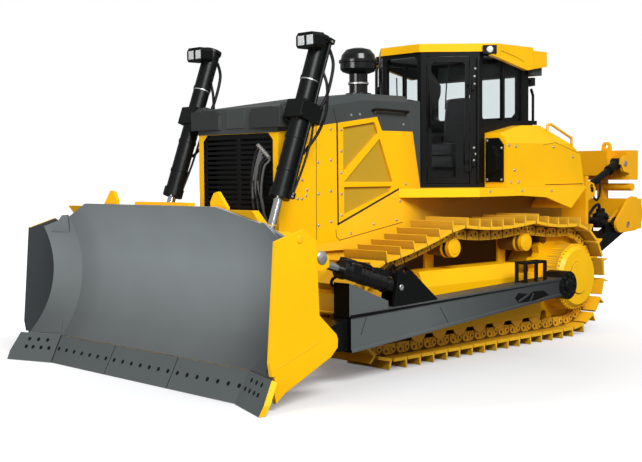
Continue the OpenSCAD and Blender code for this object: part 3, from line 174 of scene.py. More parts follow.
def finish_faces(name, material, test):
    """The faces of a CAD node whose middle and normal pass the test take this finish."""
    mesh = nodes[name].data
    mesh.materials.append(material)
    for face in mesh.polygons:
        if test(face.center, face.normal):
            face.material_index = len(mesh.materials) - 1


enamel_yellow = (0.93, 0.49, 0.002)


def yellow_enamel(name):
    return coated(name, enamel_yellow, (0.95, 0.6, 0.05), roughness=0.32, coat=0.03, specular=0.16,
                  dust_and_shade=(0.3, 0.14, 0.015))


yellow = yellow_enamel("yellow_enamel")
# A more orange yellow as painted shade, the warm tone of faces turned from the light: on the ripper mount and
# beam, and on the welds and plugs of the blade's end plates.
shade_warmed_yellow = coated(
    "shade_warmed_enamel", (0.95, 0.455, 0.006), (0.95, 0.56, 0.05), roughness=0.36, dusty_and_shaded=0.7,
    dust_and_shade=(0.26, 0.1, 0.01), specular=0.25)
finish_nodes(yellow, "main_frame", "radiator_guard", "fender_platforms", "track_frames", "blade_back",
             "lifting_eyes", "final_drives", "cab_roof", "side_tank_left", "side_tank_right", "rear_tank")
finish_nodes(shade_warmed_yellow, "ripper_mount", "ripper_beam")
trunnion_x = 660
trunnion_z = 700
axle_x = joints["blade_lift"]["pos_m"][0] - trunnion_x / 1000


def x_at(x):
    """Metres along the machine, from millimetres ahead of the sprocket axle."""
    return axle_x + x / 1000


def at(x, y, z):
    """A point given in millimetres ahead of the sprocket axle, left of the middle and over the ground."""
    return Vector((x_at(x), y / 1000, z / 1000))


def graded(material, axis, stops):
    """The coat's colour along one axis of the machine: (place in metres, colour) from low to high.
    A second call multiplies the first."""
    tree = material.node_tree
    layer = next(n for n in tree.nodes if n.type == "GROUP")
    split = node(tree, "ShaderNodeSeparateXYZ", [(0, object_place(tree))])
    low, high = stops[0][0], stops[-1][0]
    ramp = node(tree, "ShaderNodeValToRGB", [("Fac", remap(tree, split.outputs[axis], low, high))])
    marks = ramp.color_ramp.elements
    while len(marks) < len(stops):
        marks.new(0.5)
    for mark, (spot, colour) in zip(marks, stops):
        mark.position = (spot - low) / (high - low)
        mark.color = (*colour, 1)
    colour = ramp.outputs["Color"]
    for link in layer.inputs["Colour"].links:
        colour = mix(tree, 1.0, link.from_socket, colour, blend_type="MULTIPLY")
    tree.links.new(colour, layer.inputs["Colour"])


# Painted shadow: the hull's side walls darken from yellow toward the rear, the upper wall to ochre and the
# lower wall to a dark brown, near black in their hollows.
fender_shadow_wall = coated(
    "fender_shadow_hull", (0.5, 0.3, 0.01), (0.5, 0.28, 0.02), roughness=0.5, dusty_and_shaded=1.0, dust_and_shade=(0.035, 0.017, 0.004))
graded(fender_shadow_wall, "X", [(x_at(1500), (0.33, 0.19, 0.012)), (x_at(1980), (0.5, 0.27, 0.008)),
                        (x_at(2330), enamel_yellow)])
low_hull_shadow = coated(
    "shaded_hull", (0.13, 0.066, 0.007), (0.2, 0.1, 0.01), roughness=0.6, dusty_and_shaded=0.8,
    dust_and_shade=(0.03, 0.015, 0.004))
graded(low_hull_shadow, "X", [(x_at(2250), (0.13, 0.066, 0.007)), (x_at(2600), (0.45, 0.24, 0.006)),
                        (x_at(2900), enamel_yellow)])
shade_top = 1.25
shade_end = x_at(3400)
finish_faces("main_frame", fender_shadow_wall, lambda c, n: abs(n.y) > 0.9 and c.z > shade_top and c.x < shade_end)
finish_faces("main_frame", low_hull_shadow, lambda c, n: abs(n.y) > 0.9 and c.z < shade_top and c.x < shade_end)
# Painted shade: the engine panels darken toward their rear end.
panel_shaded_yellow = yellow_enamel("panel_shaded_enamel")
graded(panel_shaded_yellow, "X", [(x_at(2020), (0.76, 0.385, 0.004)), (x_at(2420), enamel_yellow)])
finish_nodes(panel_shaded_yellow, "engine_panels")

# Hood, cowl and lift crossbar: pressed and cast steel in a satin dark grey, bolted over the
# engine bay. The push arms are plate of a lighter grey, welded into long boxes.
dark_grey = coated(
    "dark_grey_enamel", (0.046, 0.054, 0.054), (0.1, 0.11, 0.11), roughness=0.4, edge=0.5,
    dust_and_shade=(0.07, 0.065, 0.055), specular=0.4)
shaded_arm_grey = coated(
    "shaded_arm_grey_enamel", (0.07, 0.08, 0.08), (0.16, 0.17, 0.17), roughness=0.42, edge=0.5,
    dust_and_shade=(0.1, 0.09, 0.075), specular=0.4)
finish_nodes(dark_grey, "nose_crossbar", "hood_top", "rear_cowl", "roof_unit", "frame_crossbars")
# Painted shade and light: the push arms' grey runs from dark at their rear to lighter at the front.
graded(shaded_arm_grey, "X", [(x_at(900), (0.028, 0.033, 0.033)), (x_at(1900), (0.05, 0.058, 0.058)),
                       (x_at(3300), (0.096, 0.109, 0.109)), (x_at(4600), (0.09, 0.102, 0.102))])
finish_nodes(shaded_arm_grey, "push_arm_left", "push_arm_right")

# Grille, cab shell, lift barrels, lamps and ripper cylinders: castings, tube and sheet in black
# satin paint. The same black is painted shade on the inner, under and set-back faces of the radiator
# guard and on the inner walls of the engine panels. The intake stack and the tilt barrels are glossier,
# and the ends of the crossbar a little lighter.
black = coated(
    "black_satin", (0.003, 0.0036, 0.0036), (0.026, 0.029, 0.029), roughness=0.29, edge=0.4,
    dust_and_shade=(0.012, 0.012, 0.011), specular=0.19)
finish_nodes(black, "front_grille", "cab_frame", "lift_barrel_left", "lift_barrel_right", "door_left",
             "door_right", "work_lamps", "door_stops", "ripper_links", "ripper_tilt_cylinders",
             "ripper_lift_barrels", "engine_block")
guard_front = x_at(4100)
# Painted shade: the radiator guard's inner, under and set-back front faces are black.
finish_faces("radiator_guard", black,
             lambda c, n: n.y * c.y < -0.01 or n.z < -0.5 or (n.x > 0.5 and c.x < guard_front))
# Painted shade: the inner walls of the engine panels are black where they show through the slats.
finish_faces("engine_panels", black, lambda c, n: n.y * c.y < -0.3 and abs(c.y) < 0.645)
gloss_black = coated(
    "gloss_black", (0.003, 0.0036, 0.0036), (0.03, 0.03, 0.03), roughness=0.16, edge=0.5, dusty_and_shaded=0.1,
    specular=0.32, coat=0.2)
finish_nodes(gloss_black, "tilt_barrel_left", "tilt_barrel_right", "intake_stack")
bar_grey = coated(
    "bar_grey", (0.026, 0.03, 0.03), (0.06, 0.065, 0.065), roughness=0.36, dust_and_shade=(0.03, 0.03, 0.028),
    specular=0.35)
bar_front = x_at(4110)
finish_faces("nose_crossbar", bar_grey, lambda c, n: abs(c.y) > 0.26 and c.x > bar_front)

# Tracks, rollers and idlers: forged links and rolled shoes, painted with the machine. Earth packs
# between the grousers, and the gaps in the chain and the forward faces of the grousers are darker as painted
# shade.
track_paint = coated(
    "track_ochre", (0.93, 0.5, 0.008), (0.95, 0.6, 0.07), roughness=0.4, dusty_and_shaded=0.8, edge=0.4,
    dust_and_shade=(0.16, 0.075, 0.01), radius=0.005)
earth_and_shade_brown = coated(
    "earth_and_shade_brown", (0.17, 0.085, 0.014), (0.28, 0.15, 0.03), roughness=0.7, dusty_and_shaded=0.9, edge=0.3,
    dust_and_shade=(0.05, 0.027, 0.008), peel=0.3)
shoe_shade = coated(
    "shoe_shade_ochre", (0.57, 0.325, 0.014), (0.75, 0.44, 0.05), roughness=0.5, dusty_and_shaded=1.0, edge=0.5,
    dust_and_shade=(0.1, 0.05, 0.008), radius=0.005)
finish_nodes(track_paint, "track_left", "track_right", "track_rollers", "idlers")
for name in ("track_left", "track_right"):
    # Earth, and painted shade in the gaps between the link plates: the chain's side faces are a dark brown.
    finish_faces(name, earth_and_shade_brown, lambda c, n: abs(n.y) > 0.9 and abs(c.y) < 1.3)
    # Painted shade: the forward faces of the grousers on the top run are a darker ochre.
    finish_faces(name, shoe_shade, lambda c, n: n.x > 0.5 and c.z > 0.62)
# The rollers' round sides take the same dark brown: earth and painted shade.
finish_faces("track_rollers", earth_and_shade_brown, lambda c, n: abs(n.y) < 0.5)

# Blade plate, cutting edges and ripper shank: abrasion-proof steel plate, grey primed and rolled
# to a curve, with edges and end bits bolted on along the bottom.
painted_light_blade_grey = coated(
    "blade_primer_painted_light", (0.215, 0.238, 0.242), (0.34, 0.36, 0.36), roughness=0.44, dusty_and_shaded=0.15, edge=0.5,
    dust_and_shade=(0.12, 0.12, 0.11), specular=0.4)
edge_steel = coated(
    "edge_steel", (0.074, 0.085, 0.085), (0.24, 0.25, 0.25), roughness=0.45, dusty_and_shaded=0.2, edge=0.6,
    dust_and_shade=(0.08, 0.08, 0.07), specular=0.4)
end_plate_shade_grey = coated(
    "end_plate_shade_grey", (0.034, 0.04, 0.042), (0.1, 0.11, 0.11), roughness=0.5, dusty_and_shaded=0.2,
    dust_and_shade=(0.03, 0.03, 0.03), specular=0.3)
primer = Vector((1.0, 1.11, 1.125))
# Painted light and shade: the board's grey is lighter toward its top and darker toward both ends, by these
# tones up and across the blade.
light_up_the_blade = ((0.3, 0.095), (0.5, 0.118), (0.77, 0.177), (1.17, 0.285), (1.5, 0.318), (1.72, 0.33))
light_across_the_blade = ((-1.8, 0.78), (-1.4, 0.86), (-1.2, 1.0), (-0.8, 1.03), (0.6, 0.97), (1.1, 0.89),
                    (1.5, 0.75), (1.85, 0.62))
graded(painted_light_blade_grey, "Z", [(z, primer * tone) for z, tone in light_up_the_blade])
graded(painted_light_blade_grey, "Y", [(y, (tone, tone, tone)) for y, tone in light_across_the_blade])
finish_nodes(painted_light_blade_grey, "blade_board")
finish_nodes(edge_steel, "cutting_edges", "ripper_shank")
blade_end = 1.9
# Painted shade: the inner faces of the end plates, and the far plate's front edge, are a darker grey.
finish_faces("blade_back", end_plate_shade_grey,
             lambda c, n: abs(c.y) > blade_end and n.y * c.y < 0 and abs(n.y) > 0.9)
finish_faces("blade_back", end_plate_shade_grey, lambda c, n: c.y < -blade_end and n.x > 0.5)
finish_faces("cutting_edges", yellow, lambda c, n: abs(c.y) > blade_end and n.y * c.y > 0.6)

# Cylinder rods: hard-chromed steel bar, ground bright. Each slides out through a wiper ring in
# the head of its barrel, so next to no dust stays on it.
chrome = coated(
    "hard_chrome", (0.72, 0.73, 0.74), (0.85, 0.85, 0.86), roughness=0.12, metallic=1.0, dusty_and_shaded=0.1,
    edge=0.2, peel=0.0, radius=0.002)
finish_nodes(chrome, "lift_rod_left", "lift_rod_right", "tilt_rod_left", "tilt_rod_right", "ripper_lift_rods")


# Engine side screens: punched sheet behind the panel windows, in a darker ochre than the panels,
# its small round holes painted darker still as painted shade of the engine bay behind them.
def punched_screen():
    material, tree, shader = fresh_material("punched_screen")
    place = object_place(tree)
    holes = node(tree, "ShaderNodeTexVoronoi", [("Vector", place), ("Scale", 72.0), ("Randomness", 0.0)])
    cut = remap(tree, holes.outputs["Distance"], 0.3, 0.4)
    tone = mix(tree, noise(tree, place, 3.0), (0.44, 0.267, 0.008, 1), (0.49, 0.3, 0.01, 1))
    holes_shaded = mix(tree, cut, (0.22, 0.14, 0.01, 1), tone)
    normal = bumps(tree, 0.3, 0.003, cut)
    fill(tree, shader, [("Roughness", 0.55), ("Base Color", holes_shaded), ("Normal", normal)])
    return material


finish_nodes(punched_screen(), "panel_meshes")


# Cab glass: laminated panes with a light grey tint, bonded into the posts and doors. A thin
# film on them makes the gloss a little uneven.
def tinted_glass():
    material, tree, shader = fresh_material("tinted_glass")
    film = noise(tree, object_place(tree), 2.0, 3.0)
    tint = mix(tree, film, (0.8, 0.84, 0.85, 1), (0.86, 0.9, 0.9, 1))
    rough = remap(tree, film, 0.0, 1.0, 0.0, 0.03)
    fill(tree, shader, [("Transmission Weight", 1.0), ("IOR", 1.1), ("Base Color", tint),
                        ("Roughness", rough)])
    return material


finish_nodes(tinted_glass(), "cab_glass", "door_glass_left", "door_glass_right")

# Controls: moulded grey plastic consoles beside the seat and under the windscreen, screwed to
# the cab floor. The moulded skin is dull and slightly rough.
plastic = coated(
    "moulded_plastic", (0.03, 0.031, 0.031), (0.06, 0.06, 0.06), roughness=0.6, edge=0.2, dusty_and_shaded=0.1,
    peel=0.2)
finish_nodes(plastic, "control_console")


# Operator's seat: foam cushions in black cloth on a sprung box with arm rests. Each cushion
# is a crowned closed form whose sides pull in between the corners.
def seat_cloth():
    material, tree, shader = fresh_material("seat_cloth")
    threads = [("Vector", object_place(tree)), ("Scale", 90.0), ("Distortion", 1.5)]
    weave = node(tree, "ShaderNodeTexWave", threads).outputs["Fac"]
    tone = mix(tree, weave, (0.012, 0.012, 0.013, 1), (0.035, 0.036, 0.038, 1))
    fill(tree, shader, [("Roughness", 0.9), ("Sheen Weight", 0.3), ("Base Color", tone),
                        ("Normal", bumps(tree, 0.4, 0.002, weave))])
    return material


cloth = seat_cloth()


def as_mesh(name, bm):
    """The mesh of a drawn shape, with its faces turned outward."""
    bmesh.ops.recalc_face_normals(bm, faces=bm.faces)
    mesh = bpy.data.meshes.new(name)
    bm.to_mesh(mesh)
    bm.free()
    return mesh


def linked(name, data):
    made = bpy.data.objects.new(name, data)
    bpy.context.scene.collection.objects.link(made)
    return made


def mesh_piece(name, bm, material, body="chassis", smooth=False):
    mesh = as_mesh(name, bm)
    for face in mesh.polygons:
        face.use_smooth = smooth
    mesh.materials.append(material)
    piece = linked(name, mesh)
    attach(piece, body)
    return piece


def cushion(name, middle, size, turn=0.0):
    crown = 0.18
    pull = 0.05
    bm = bmesh.new()
    bmesh.ops.create_cube(bm, size=2.0)
    bmesh.ops.subdivide_edges(bm, edges=bm.edges[:], cuts=11, use_grid_fill=True)
    for v in bm.verts:
        x, y, z = v.co
        edge = (abs(x) ** 4 + abs(y) ** 4) ** 0.25
        puff = 1 - crown * min(1.0, edge) ** 3
        waist = 1 - pull * (1 - abs(z)) * (abs(x * y) < 0.85)
        v.co = Vector((x * waist * (1 - pull * y * y), y * waist * (1 - pull * x * x), z * puff))
    scaled = Matrix.Diagonal((*(Vector(size) / 2), 1))
    bmesh.ops.transform(bm, matrix=Matrix.Translation(middle) @ Matrix.Rotation(turn, 4, "Y") @ scaled,
                        verts=bm.verts)
    piece = mesh_piece(name, bm, cloth, smooth=True)
    return piece


base_cushion = cushion("seat_cushion", at(715, 0, 2310), (0.47, 0.49, 0.15))
cushion("seat_back", at(480, 0, 2660), (0.6, 0.48, 0.12), turn=math.radians(84))
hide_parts("operator_seat")


def bevelled_block(bm, low, high, bevel):
    made = bmesh.ops.create_cube(bm, size=1.0)["verts"]
    middle, size = (low + high) / 2, high - low
    bmesh.ops.transform(bm, matrix=Matrix.Translation(middle) @ Matrix.Diagonal((*size, 1)), verts=made)
    edges = {e for v in made for e in v.link_edges}
    bmesh.ops.bevel(bm, geom=list(edges), offset=bevel, segments=2, affect="EDGES", profile=0.5)


seat_box = bmesh.new()
bevelled_block(seat_box, at(500, -200, 1885), at(870, 200, 2060), 0.02)
bevelled_block(seat_box, at(490, -230, 2060), at(930, 230, 2240), 0.03)
for rest_y in (-290, 250):
    bevelled_block(seat_box, at(520, rest_y, 2480), at(860, rest_y + 40, 2520), 0.012)
mesh_piece("seat_box", seat_box, plastic)

# Panel seams and screws: the side panels are separate sheets, held by plated hex screws on
# clips. Rubber strip fills each joint, so it reads as a dark line from a few steps away.
joint_and_crease_dark = coated(
    "joint_rubber_and_crease_shade", (0.01, 0.009, 0.008), (0.02, 0.02, 0.02), roughness=0.7, edge=0.1, dusty_and_shaded=0.1, peel=0.1)
zinc = coated(
    "zinc_plate", (0.52, 0.52, 0.5), (0.7, 0.7, 0.68), roughness=0.3, metallic=0.8, dusty_and_shaded=0.6, edge=0.3,
    radius=0.002, dust_and_shade=(0.1, 0.09, 0.07))


def repeat_tree():
    inputs = [("Geometry", "Geometry"), ("Template", "Object"), ("Finish", "Material")]
    tree, given, result = new_group("Repeat at places", "GeometryNodeTree", inputs, inputs[:1])
    tree.is_modifier = True
    source = [("Object", given["Template"])]
    template = node(tree, "GeometryNodeObjectInfo", source, transform_space="ORIGINAL")
    turn = node(tree, "GeometryNodeInputNamedAttribute", [("Name", "turn")], data_type="FLOAT_VECTOR")
    spin = node(tree, "FunctionNodeEulerToRotation", [("Euler", turn)])
    spots = [("Points", given["Geometry"]), ("Instance", template.outputs["Geometry"]), ("Rotation", spin)]
    placed = node(tree, "GeometryNodeInstanceOnPoints", spots)
    real = node(tree, "GeometryNodeRealizeInstances", [("Geometry", placed)])
    done = node(tree, "GeometryNodeSetMaterial", [("Geometry", real), ("Material", given["Finish"])])
    fill(tree, result, [("Geometry", done)])
    return tree


repeat_at_places = repeat_tree()


def grown(name, seed, tree, values, body):
    """The seed's modifier makes the piece once; a plain mesh of it then rides its body."""
    modifier = seed.modifiers.new(name, "NODES")
    modifier.node_group = tree
    ids = {item.name: item.identifier for item in tree.interface.items_tree if item.in_out == "INPUT"}
    for label, value in values.items():
        modifier[ids[label]] = value
    graph = bpy.context.evaluated_depsgraph_get()
    mesh = bpy.data.meshes.new_from_object(seed.evaluated_get(graph), depsgraph=graph)
    seed.modifiers.clear()
    bpy.data.objects.remove(seed)
    piece = linked(name, mesh)
    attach(piece, body)


def seed_of(name, points, turns=()):
    """Loose points with a turn each, or a path where no turns are given."""
    steps = [] if turns else [(i, i + 1) for i in range(len(points) - 1)]
    mesh = bpy.data.meshes.new(name + "_seed")
    mesh.from_pydata([tuple(p) for p in points], steps, [])
    if turns:
        angles = mesh.attributes.new("turn", "FLOAT_VECTOR", "POINT")
        for i, turn in enumerate(turns):
            angles.data[i].vector = turn
    return linked(name + "_seed", mesh)


def toward(direction):
    return Vector(direction).to_track_quat("Z", "Y").to_euler()


def repeat(name, shape, places, material, body="chassis"):
    """One shape, drawn standing on +Z, at each (point, turn) of the list."""
    template = linked(name + "_template", as_mesh(name + "_template", shape))
    points, turns = zip(*places)
    values = {"Template": template, "Finish": material}
    grown(name, seed_of(name, points, turns), repeat_at_places, values, body)
    bpy.data.objects.remove(template)


def walled(bm, low, high):
    """Faces all the way round between two rings of corners."""
    for k in range(len(low)):
        bm.faces.new((low[k - 1], low[k], high[k], high[k - 1]))


def prism(bm, low, high):
    """A closed solid between two rings of points."""
    rings = [[bm.verts.new(p) for p in ring] for ring in (low, high)]
    for ring in rings:
        bm.faces.new(ring)
    walled(bm, *rings)


def ring_of(x, y, radius, count):
    """Points evenly round a circle."""
    angles = [2 * math.pi * k / count for k in range(count)]
    return [(x + radius * math.cos(a), y + radius * math.sin(a)) for a in angles]


def turned(profile, sides, hollow=False):
    """A lathe shape from (radius, height) pairs, closed at both ends, or a ring where it is hollow."""
    bm = bmesh.new()
    rings = [[bm.verts.new((*p, height)) for p in ring_of(0, 0, r, sides)] for r, height in profile]
    for low, high in zip(rings, rings[1:]):
        walled(bm, low, high)
    if hollow:
        walled(bm, rings[-1], rings[0])
    else:
        bm.faces.new(rings[0])
        bm.faces.new(rings[-1])
    return bm


def joined(first, *parts):
    for part in parts:
        scrap = as_mesh("scrap", part)
        first.from_mesh(scrap)
        bpy.data.meshes.remove(scrap)
    return first


def hex_screw(radius):
    washer = turned([(radius * 1.5, 0.0), (radius * 1.5, 0.003)], 16)
    head = turned([(radius, 0.002), (radius, radius * 0.75), (radius * 0.85, radius * 0.9)], 6)
    return joined(washer, head)


def strips(name, y, runs, width, proud, material, body="chassis"):
    """Flat strips bedded in the side walls at y and standing proud of them: each run is a list of (x, z)."""
    bedded = 2
    bm = bmesh.new()
    for run in runs:
        for start, end in zip(run, run[1:]):
            a, b = Vector(start), Vector(end)
            along = (b - a).normalized() * width / 2
            off = Vector((-along.y, along.x))
            corners = [a - off - along, a + off - along, b + off + along, b - off + along]
            for s in (1, -1):
                prism(bm, *([at(c.x, s * out, c.y) for c in corners] for out in (y - bedded, y + proud)))
    mesh_piece(name, bm, material, body)


def on_side(s, y, points):
    """Places on the left wall (1) or the right one (-1) at y, facing outward: the points are (x, z)."""
    return [(at(x, s * y, z), toward((0, s, 0))) for x, z in points]


def both_sides(y, points):
    return on_side(1, y, points) + on_side(-1, y, points)


panel_y = 650
strips("panel_joints", panel_y, [[(3345, 2555), (3338, 1478), (2385, 1836)]], 21, 1.6, joint_and_crease_dark)
nose_joints = [[(3650, 2508), (3656, 1330)], [(3372, 1420), (3365, 1345), (3315, 1306), (2330, 1462)]]
strips("nose_joints", panel_y, nose_joints, 7, 1.2, joint_and_crease_dark)
strips("hood_joints", panel_y, [[(3352, 2560), (3398, 2700)]], 8, 1.2, joint_and_crease_dark)
panel_screws = [(3284, 2479 - 227 * k) for k in range(5)]
panel_screws += [(3626, 2464 - 329 * k) for k in range(4)]
panel_screws += [(3441, 2482 - 325 * k) for k in range(4)]
panel_screws += [(3916, 1951), (3850, 1951), (3782, 1848), (3801, 1789), (3918, 1759), (3856, 1758)]
panel_screws += [(3146, 1372), (2787, 1460), (2423, 1492), (2362, 1702), (2261, 1890)]
repeat("panel_screws", hex_screw(0.0105), both_sides(panel_y, panel_screws), zinc)
hood_screws = [(3129, 2640), (2997, 2652), (2300, 2560), (2760, 2690)]
repeat("hood_screws", hex_screw(0.01), both_sides(panel_y, hood_screws), zinc)


# Hoses and rails: rubber hose runs free between its plated end fittings, every other one in a
# woven sleeve, and each hood rail is a steel tube bent over a former. A plated band clamps
# the intake stack.
def hose_tree():
    inputs = [("Geometry", "Geometry"), ("Radius", "Float"), ("Finish", "Material")]
    tree, given, result = new_group("Run along path", "GeometryNodeTree", inputs, inputs[:1])
    tree.is_modifier = True
    path = node(tree, "GeometryNodeMeshToCurve", [("Mesh", given["Geometry"])])
    bent = node(tree, "GeometryNodeCurveSplineType", [("Curve", path)], spline_type="CATMULL_ROM")
    even = node(tree, "GeometryNodeResampleCurve", [("Curve", bent), ("Count", 48)])
    circle = [("Resolution", 12), ("Radius", given["Radius"])]
    section = node(tree, "GeometryNodeCurvePrimitiveCircle", circle)
    swept = [("Curve", even), ("Profile Curve", section), ("Fill Caps", True)]
    tube = node(tree, "GeometryNodeCurveToMesh", swept)
    smooth = node(tree, "GeometryNodeSetShadeSmooth", [("Geometry", tube)])
    done = node(tree, "GeometryNodeSetMaterial", [("Geometry", smooth), ("Material", given["Finish"])])
    fill(tree, result, [("Geometry", done)])
    return tree


run_along_path = hose_tree()


def hose(name, place, points, radius, material, body="chassis"):
    """A round hose or tube through points, each set in the frame by the place function."""
    values = {"Radius": radius, "Finish": material}
    grown(name, seed_of(name, [place(*p) for p in points]), run_along_path, values, body)


def half(s):
    """The place function of the left half (1) or the right one (-1)."""
    return lambda x, y, z: at(x, s * y, z)


halves = ((1, "left"), (-1, "right"))
hose_rubber = coated(
    "hose_rubber", (0.0045, 0.005, 0.005), (0.02, 0.02, 0.02), roughness=0.4, edge=0.2, dusty_and_shaded=0.2,
    peel=0.1, dust_and_shade=(0.02, 0.018, 0.016), specular=0.2)
sleeve = coated(
    "woven_sleeve", (0.085, 0.087, 0.086), (0.16, 0.16, 0.16), roughness=0.7, edge=0.2, dusty_and_shaded=0.4, peel=0.5,
    dust_and_shade=(0.03, 0.028, 0.025))
grille_hoses = [(325 + 22 * i, 2300 - 17 * i, 34 * math.sin(2.1 * i)) for i in range(8)]
for i, (y, top, sway) in enumerate(grille_hoses):
    points = [(4155, y + 20, top), (4200, y + 15 + sway, top - 40), (4226, y + sway - 24, 2080),
              (4228, y - 38, 1880), (4214, y - 12 - sway, 1680), (4190, y + 20 + 0.5 * sway, 1480),
              (4150, y + 40, 1400)]
    hose(f"grille_hose_{i}", at, points, 0.0125, sleeve if i % 2 else hose_rubber)
elbow = turned([(0.017, -0.03), (0.017, 0.0), (0.022, 0.0), (0.022, 0.028), (0.015, 0.03)], 6)
elbows = [(at(4172, y + 20, top), toward((0.6, 0, 0.8))) for y, top, sway in grille_hoses]
repeat("grille_hose_ends", elbow, elbows, zinc)
hood_handle = [(2800, 648, 2700), (2790, 690, 2708), (2740, 700, 2710), (2320, 700, 2700), (2275, 690, 2698),
               (2265, 648, 2690)]
for s, side in halves:
    hose("hood_handle_" + side, half(s), hood_handle, 0.016, black)
repeat("stack_clamp", turned([(0.1, -0.009), (0.1165, -0.008), (0.1165, 0.008), (0.1, 0.009)], 40),
       [(at(2660, 300, 3020), toward((0, 0, 1)))], zinc)

# Final drives, carrier rollers and track links: the drive cover is held by a ring of screws, and
# its outer face and the platform lips are a brighter yellow as painted light. Forged links overlap
# at each pin, with the shoe bolts beside it, and earth and painted shade darken the gaps.
drive_ring = ring_of(0, 734.6, 385, 44)
repeat("drive_screws", hex_screw(0.0105), both_sides(1393, drive_ring), yellow)
lit_face_yellow = coated(
    "lit_face_enamel", (1.0, 0.55, 0.002), (1.0, 0.66, 0.05), roughness=0.3, dusty_and_shaded=0.1, dust_and_shade=(0.4, 0.2, 0.02),
    specular=0.28)
# Painted light: the outward faces of the platform lips and of the drive covers are a brighter yellow.
finish_faces("fender_platforms", lit_face_yellow, lambda c, n: n.y * c.y > 0.3 and abs(n.z) < 0.3)
# Painted shade: the drive ring's round sides are a darker ochre.
finish_faces("final_drives", shoe_shade, lambda c, n: abs(n.y) < 0.5 and abs(c.y) > 1.3)
finish_faces("final_drives", lit_face_yellow, lambda c, n: n.y * c.y > 0.9 and abs(c.y) > 1.3)
# The carrier rollers' black band lies in the groove between cap and flange: painted shade.
carriers = both_sides(1092, [(2170, 1190), (850, 1190)])
for name, material, profile in (
        ("carrier_caps", yellow, [(0.085, 0.135), (0.104, 0.135), (0.104, 0.186), (0.099, 0.192),
                                  (0.07, 0.193), (0.067, 0.197), (0.03, 0.198)]),
        ("carrier_bands", black, [(0.085, 0.094), (0.101, 0.094), (0.101, 0.137), (0.085, 0.137)]),
        ("carrier_flanges", yellow, [(0.085, 0.066), (0.11, 0.066), (0.11, 0.082), (0.104, 0.086),
                                     (0.104, 0.094), (0.085, 0.096)])):
    repeat(name, turned(profile, 40), carriers, material)


def chain_pins(count=45):
    """The pins as (x, z), evenly along the chain. A wheel is the x and z of its axle, the radius of the
    pins on it, the sag of the run after it, and the number of steps round it."""
    wheels = ((0, 734.59, 553.59, 0, 24), (3300, 616, 435, 30, 24), (2170, 1190, 165, 50, 4),
              (850, 1190, 165, 30, 4))
    run_steps = 12

    def leave(a, b):
        dx, dz = b[0] - a[0], b[1] - a[1]
        return math.atan2(dz, dx) - math.pi / 2 + math.asin((a[2] - b[2]) / math.hypot(dx, dz))

    def rim(w, a):
        return Vector((w[0] + w[2] * math.cos(a), w[1] + w[2] * math.sin(a)))

    path = []
    for i, wheel in enumerate(wheels):
        before, after = wheels[i - 1], wheels[(i + 1) % len(wheels)]
        sag, steps = wheel[3:]
        a0 = leave(before, wheel)
        a1 = a0 + (leave(wheel, after) - a0 + 0.02) % (2 * math.pi) - 0.02
        path += [rim(wheel, a0 + (a1 - a0) * k / steps) for k in range(steps + 1)]
        p, q = rim(wheel, leave(wheel, after)), rim(after, leave(wheel, after))
        for k in range(1, run_steps):
            path.append(p.lerp(q, k / run_steps) - Vector((0, sag * k / 3 * (1 - k / run_steps))))
    lengths = [0.0]
    for a, b in zip(path, path[1:] + path[:1]):
        lengths.append(lengths[-1] + (b - a).length)
    pins, j = [], 0
    for k in range(count):
        s = lengths[-1] * k / count
        while lengths[j + 1] < s:
            j += 1
        pins.append(path[j].lerp(path[(j + 1) % len(path)], (s - lengths[j]) / (lengths[j + 1] - lengths[j])))
    return pins


def plate(outline, low, high):
    bm = bmesh.new()
    prism(bm, *([(x, y, z) for x, y in outline] for z in (low, high)))
    return bm


def moved(bm, offset):
    bmesh.ops.translate(bm, vec=offset, verts=bm.verts)
    return bm


pins = chain_pins()
chain_y = 1222
link_outline = [(-0.098, 0.058), (-0.098, -0.006), (-0.072, -0.044), (-0.03, -0.052), (0.05, -0.052),
                (0.085, -0.03), (0.098, 0.0), (0.098, 0.058)]
for s, side in halves:
    links = []
    for p, q in zip(pins, pins[1:] + pins[:1]):
        along = (q - p).normalized()
        spot = (p + q) / 2
        x_axis = Vector((along.x, 0, along.y))
        z_axis = Vector((0, s, 0))
        turn = Matrix((x_axis, z_axis.cross(x_axis), z_axis)).transposed().to_euler()
        links.append((at(spot.x, s * chain_y, spot.y), turn))
    out = -s
    pin_spot = Vector((-0.052, out * 0.004, 0.004))
    shoe_bolt = [(0.013, 0.0), (0.013, 0.012)]
    shoe_bolts = [moved(turned(shoe_bolt, 6), Vector((x, out * 0.034, 0.01))) for x in (0.005, 0.07)]
    boss = moved(turned([(0.04, 0.0), (0.04, 0.018), (0.034, 0.022)], 16), pin_spot)
    link_plate = joined(plate([(x, out * y) for x, y in link_outline], -0.004, 0.012), boss, *shoe_bolts)
    repeat("track_links_" + side, link_plate, links, track_paint)
    pin_ends = joined(moved(turned([(0.017, 0.0), (0.017, 0.024)], 12), pin_spot),
                      moved(turned([(0.019, 0.0), (0.019, 0.0135)], 12), Vector((0.042, out * -0.012, 0.0))))
    repeat("track_pins_" + side, pin_ends, links, earth_and_shade_brown)

# Blade: plough bolts with square necks hold the edges and end bits, so only round heads sunk
# in the plate show, near black as painted shade in their sockets. Small wear pads are welded on the corners
# of the board.
# Near black: the edge gaps, weld lines and ripper lock discs, and painted shade on the sunk bolt heads and
# the arms' hand holes.
sunk_and_hole_shade = coated(
    "sunk_bolt_and_hole_shade", (0.003, 0.0034, 0.0034), (0.02, 0.02, 0.02), roughness=0.6, edge=0.2, dusty_and_shaded=0.1,
    specular=0.15)
edge_out = Vector((279, 0, 150)).normalized()
fold_x = 5358
fold_y = 1600


def edge_place(y, down):
    """A point on the straight edge's face: down it by a share of its height."""
    return at(5368 + 150 * down, y, 283 - 279 * down)


def wing_turn(side):
    return Matrix.Rotation(-side * math.radians(20), 3, "Z")


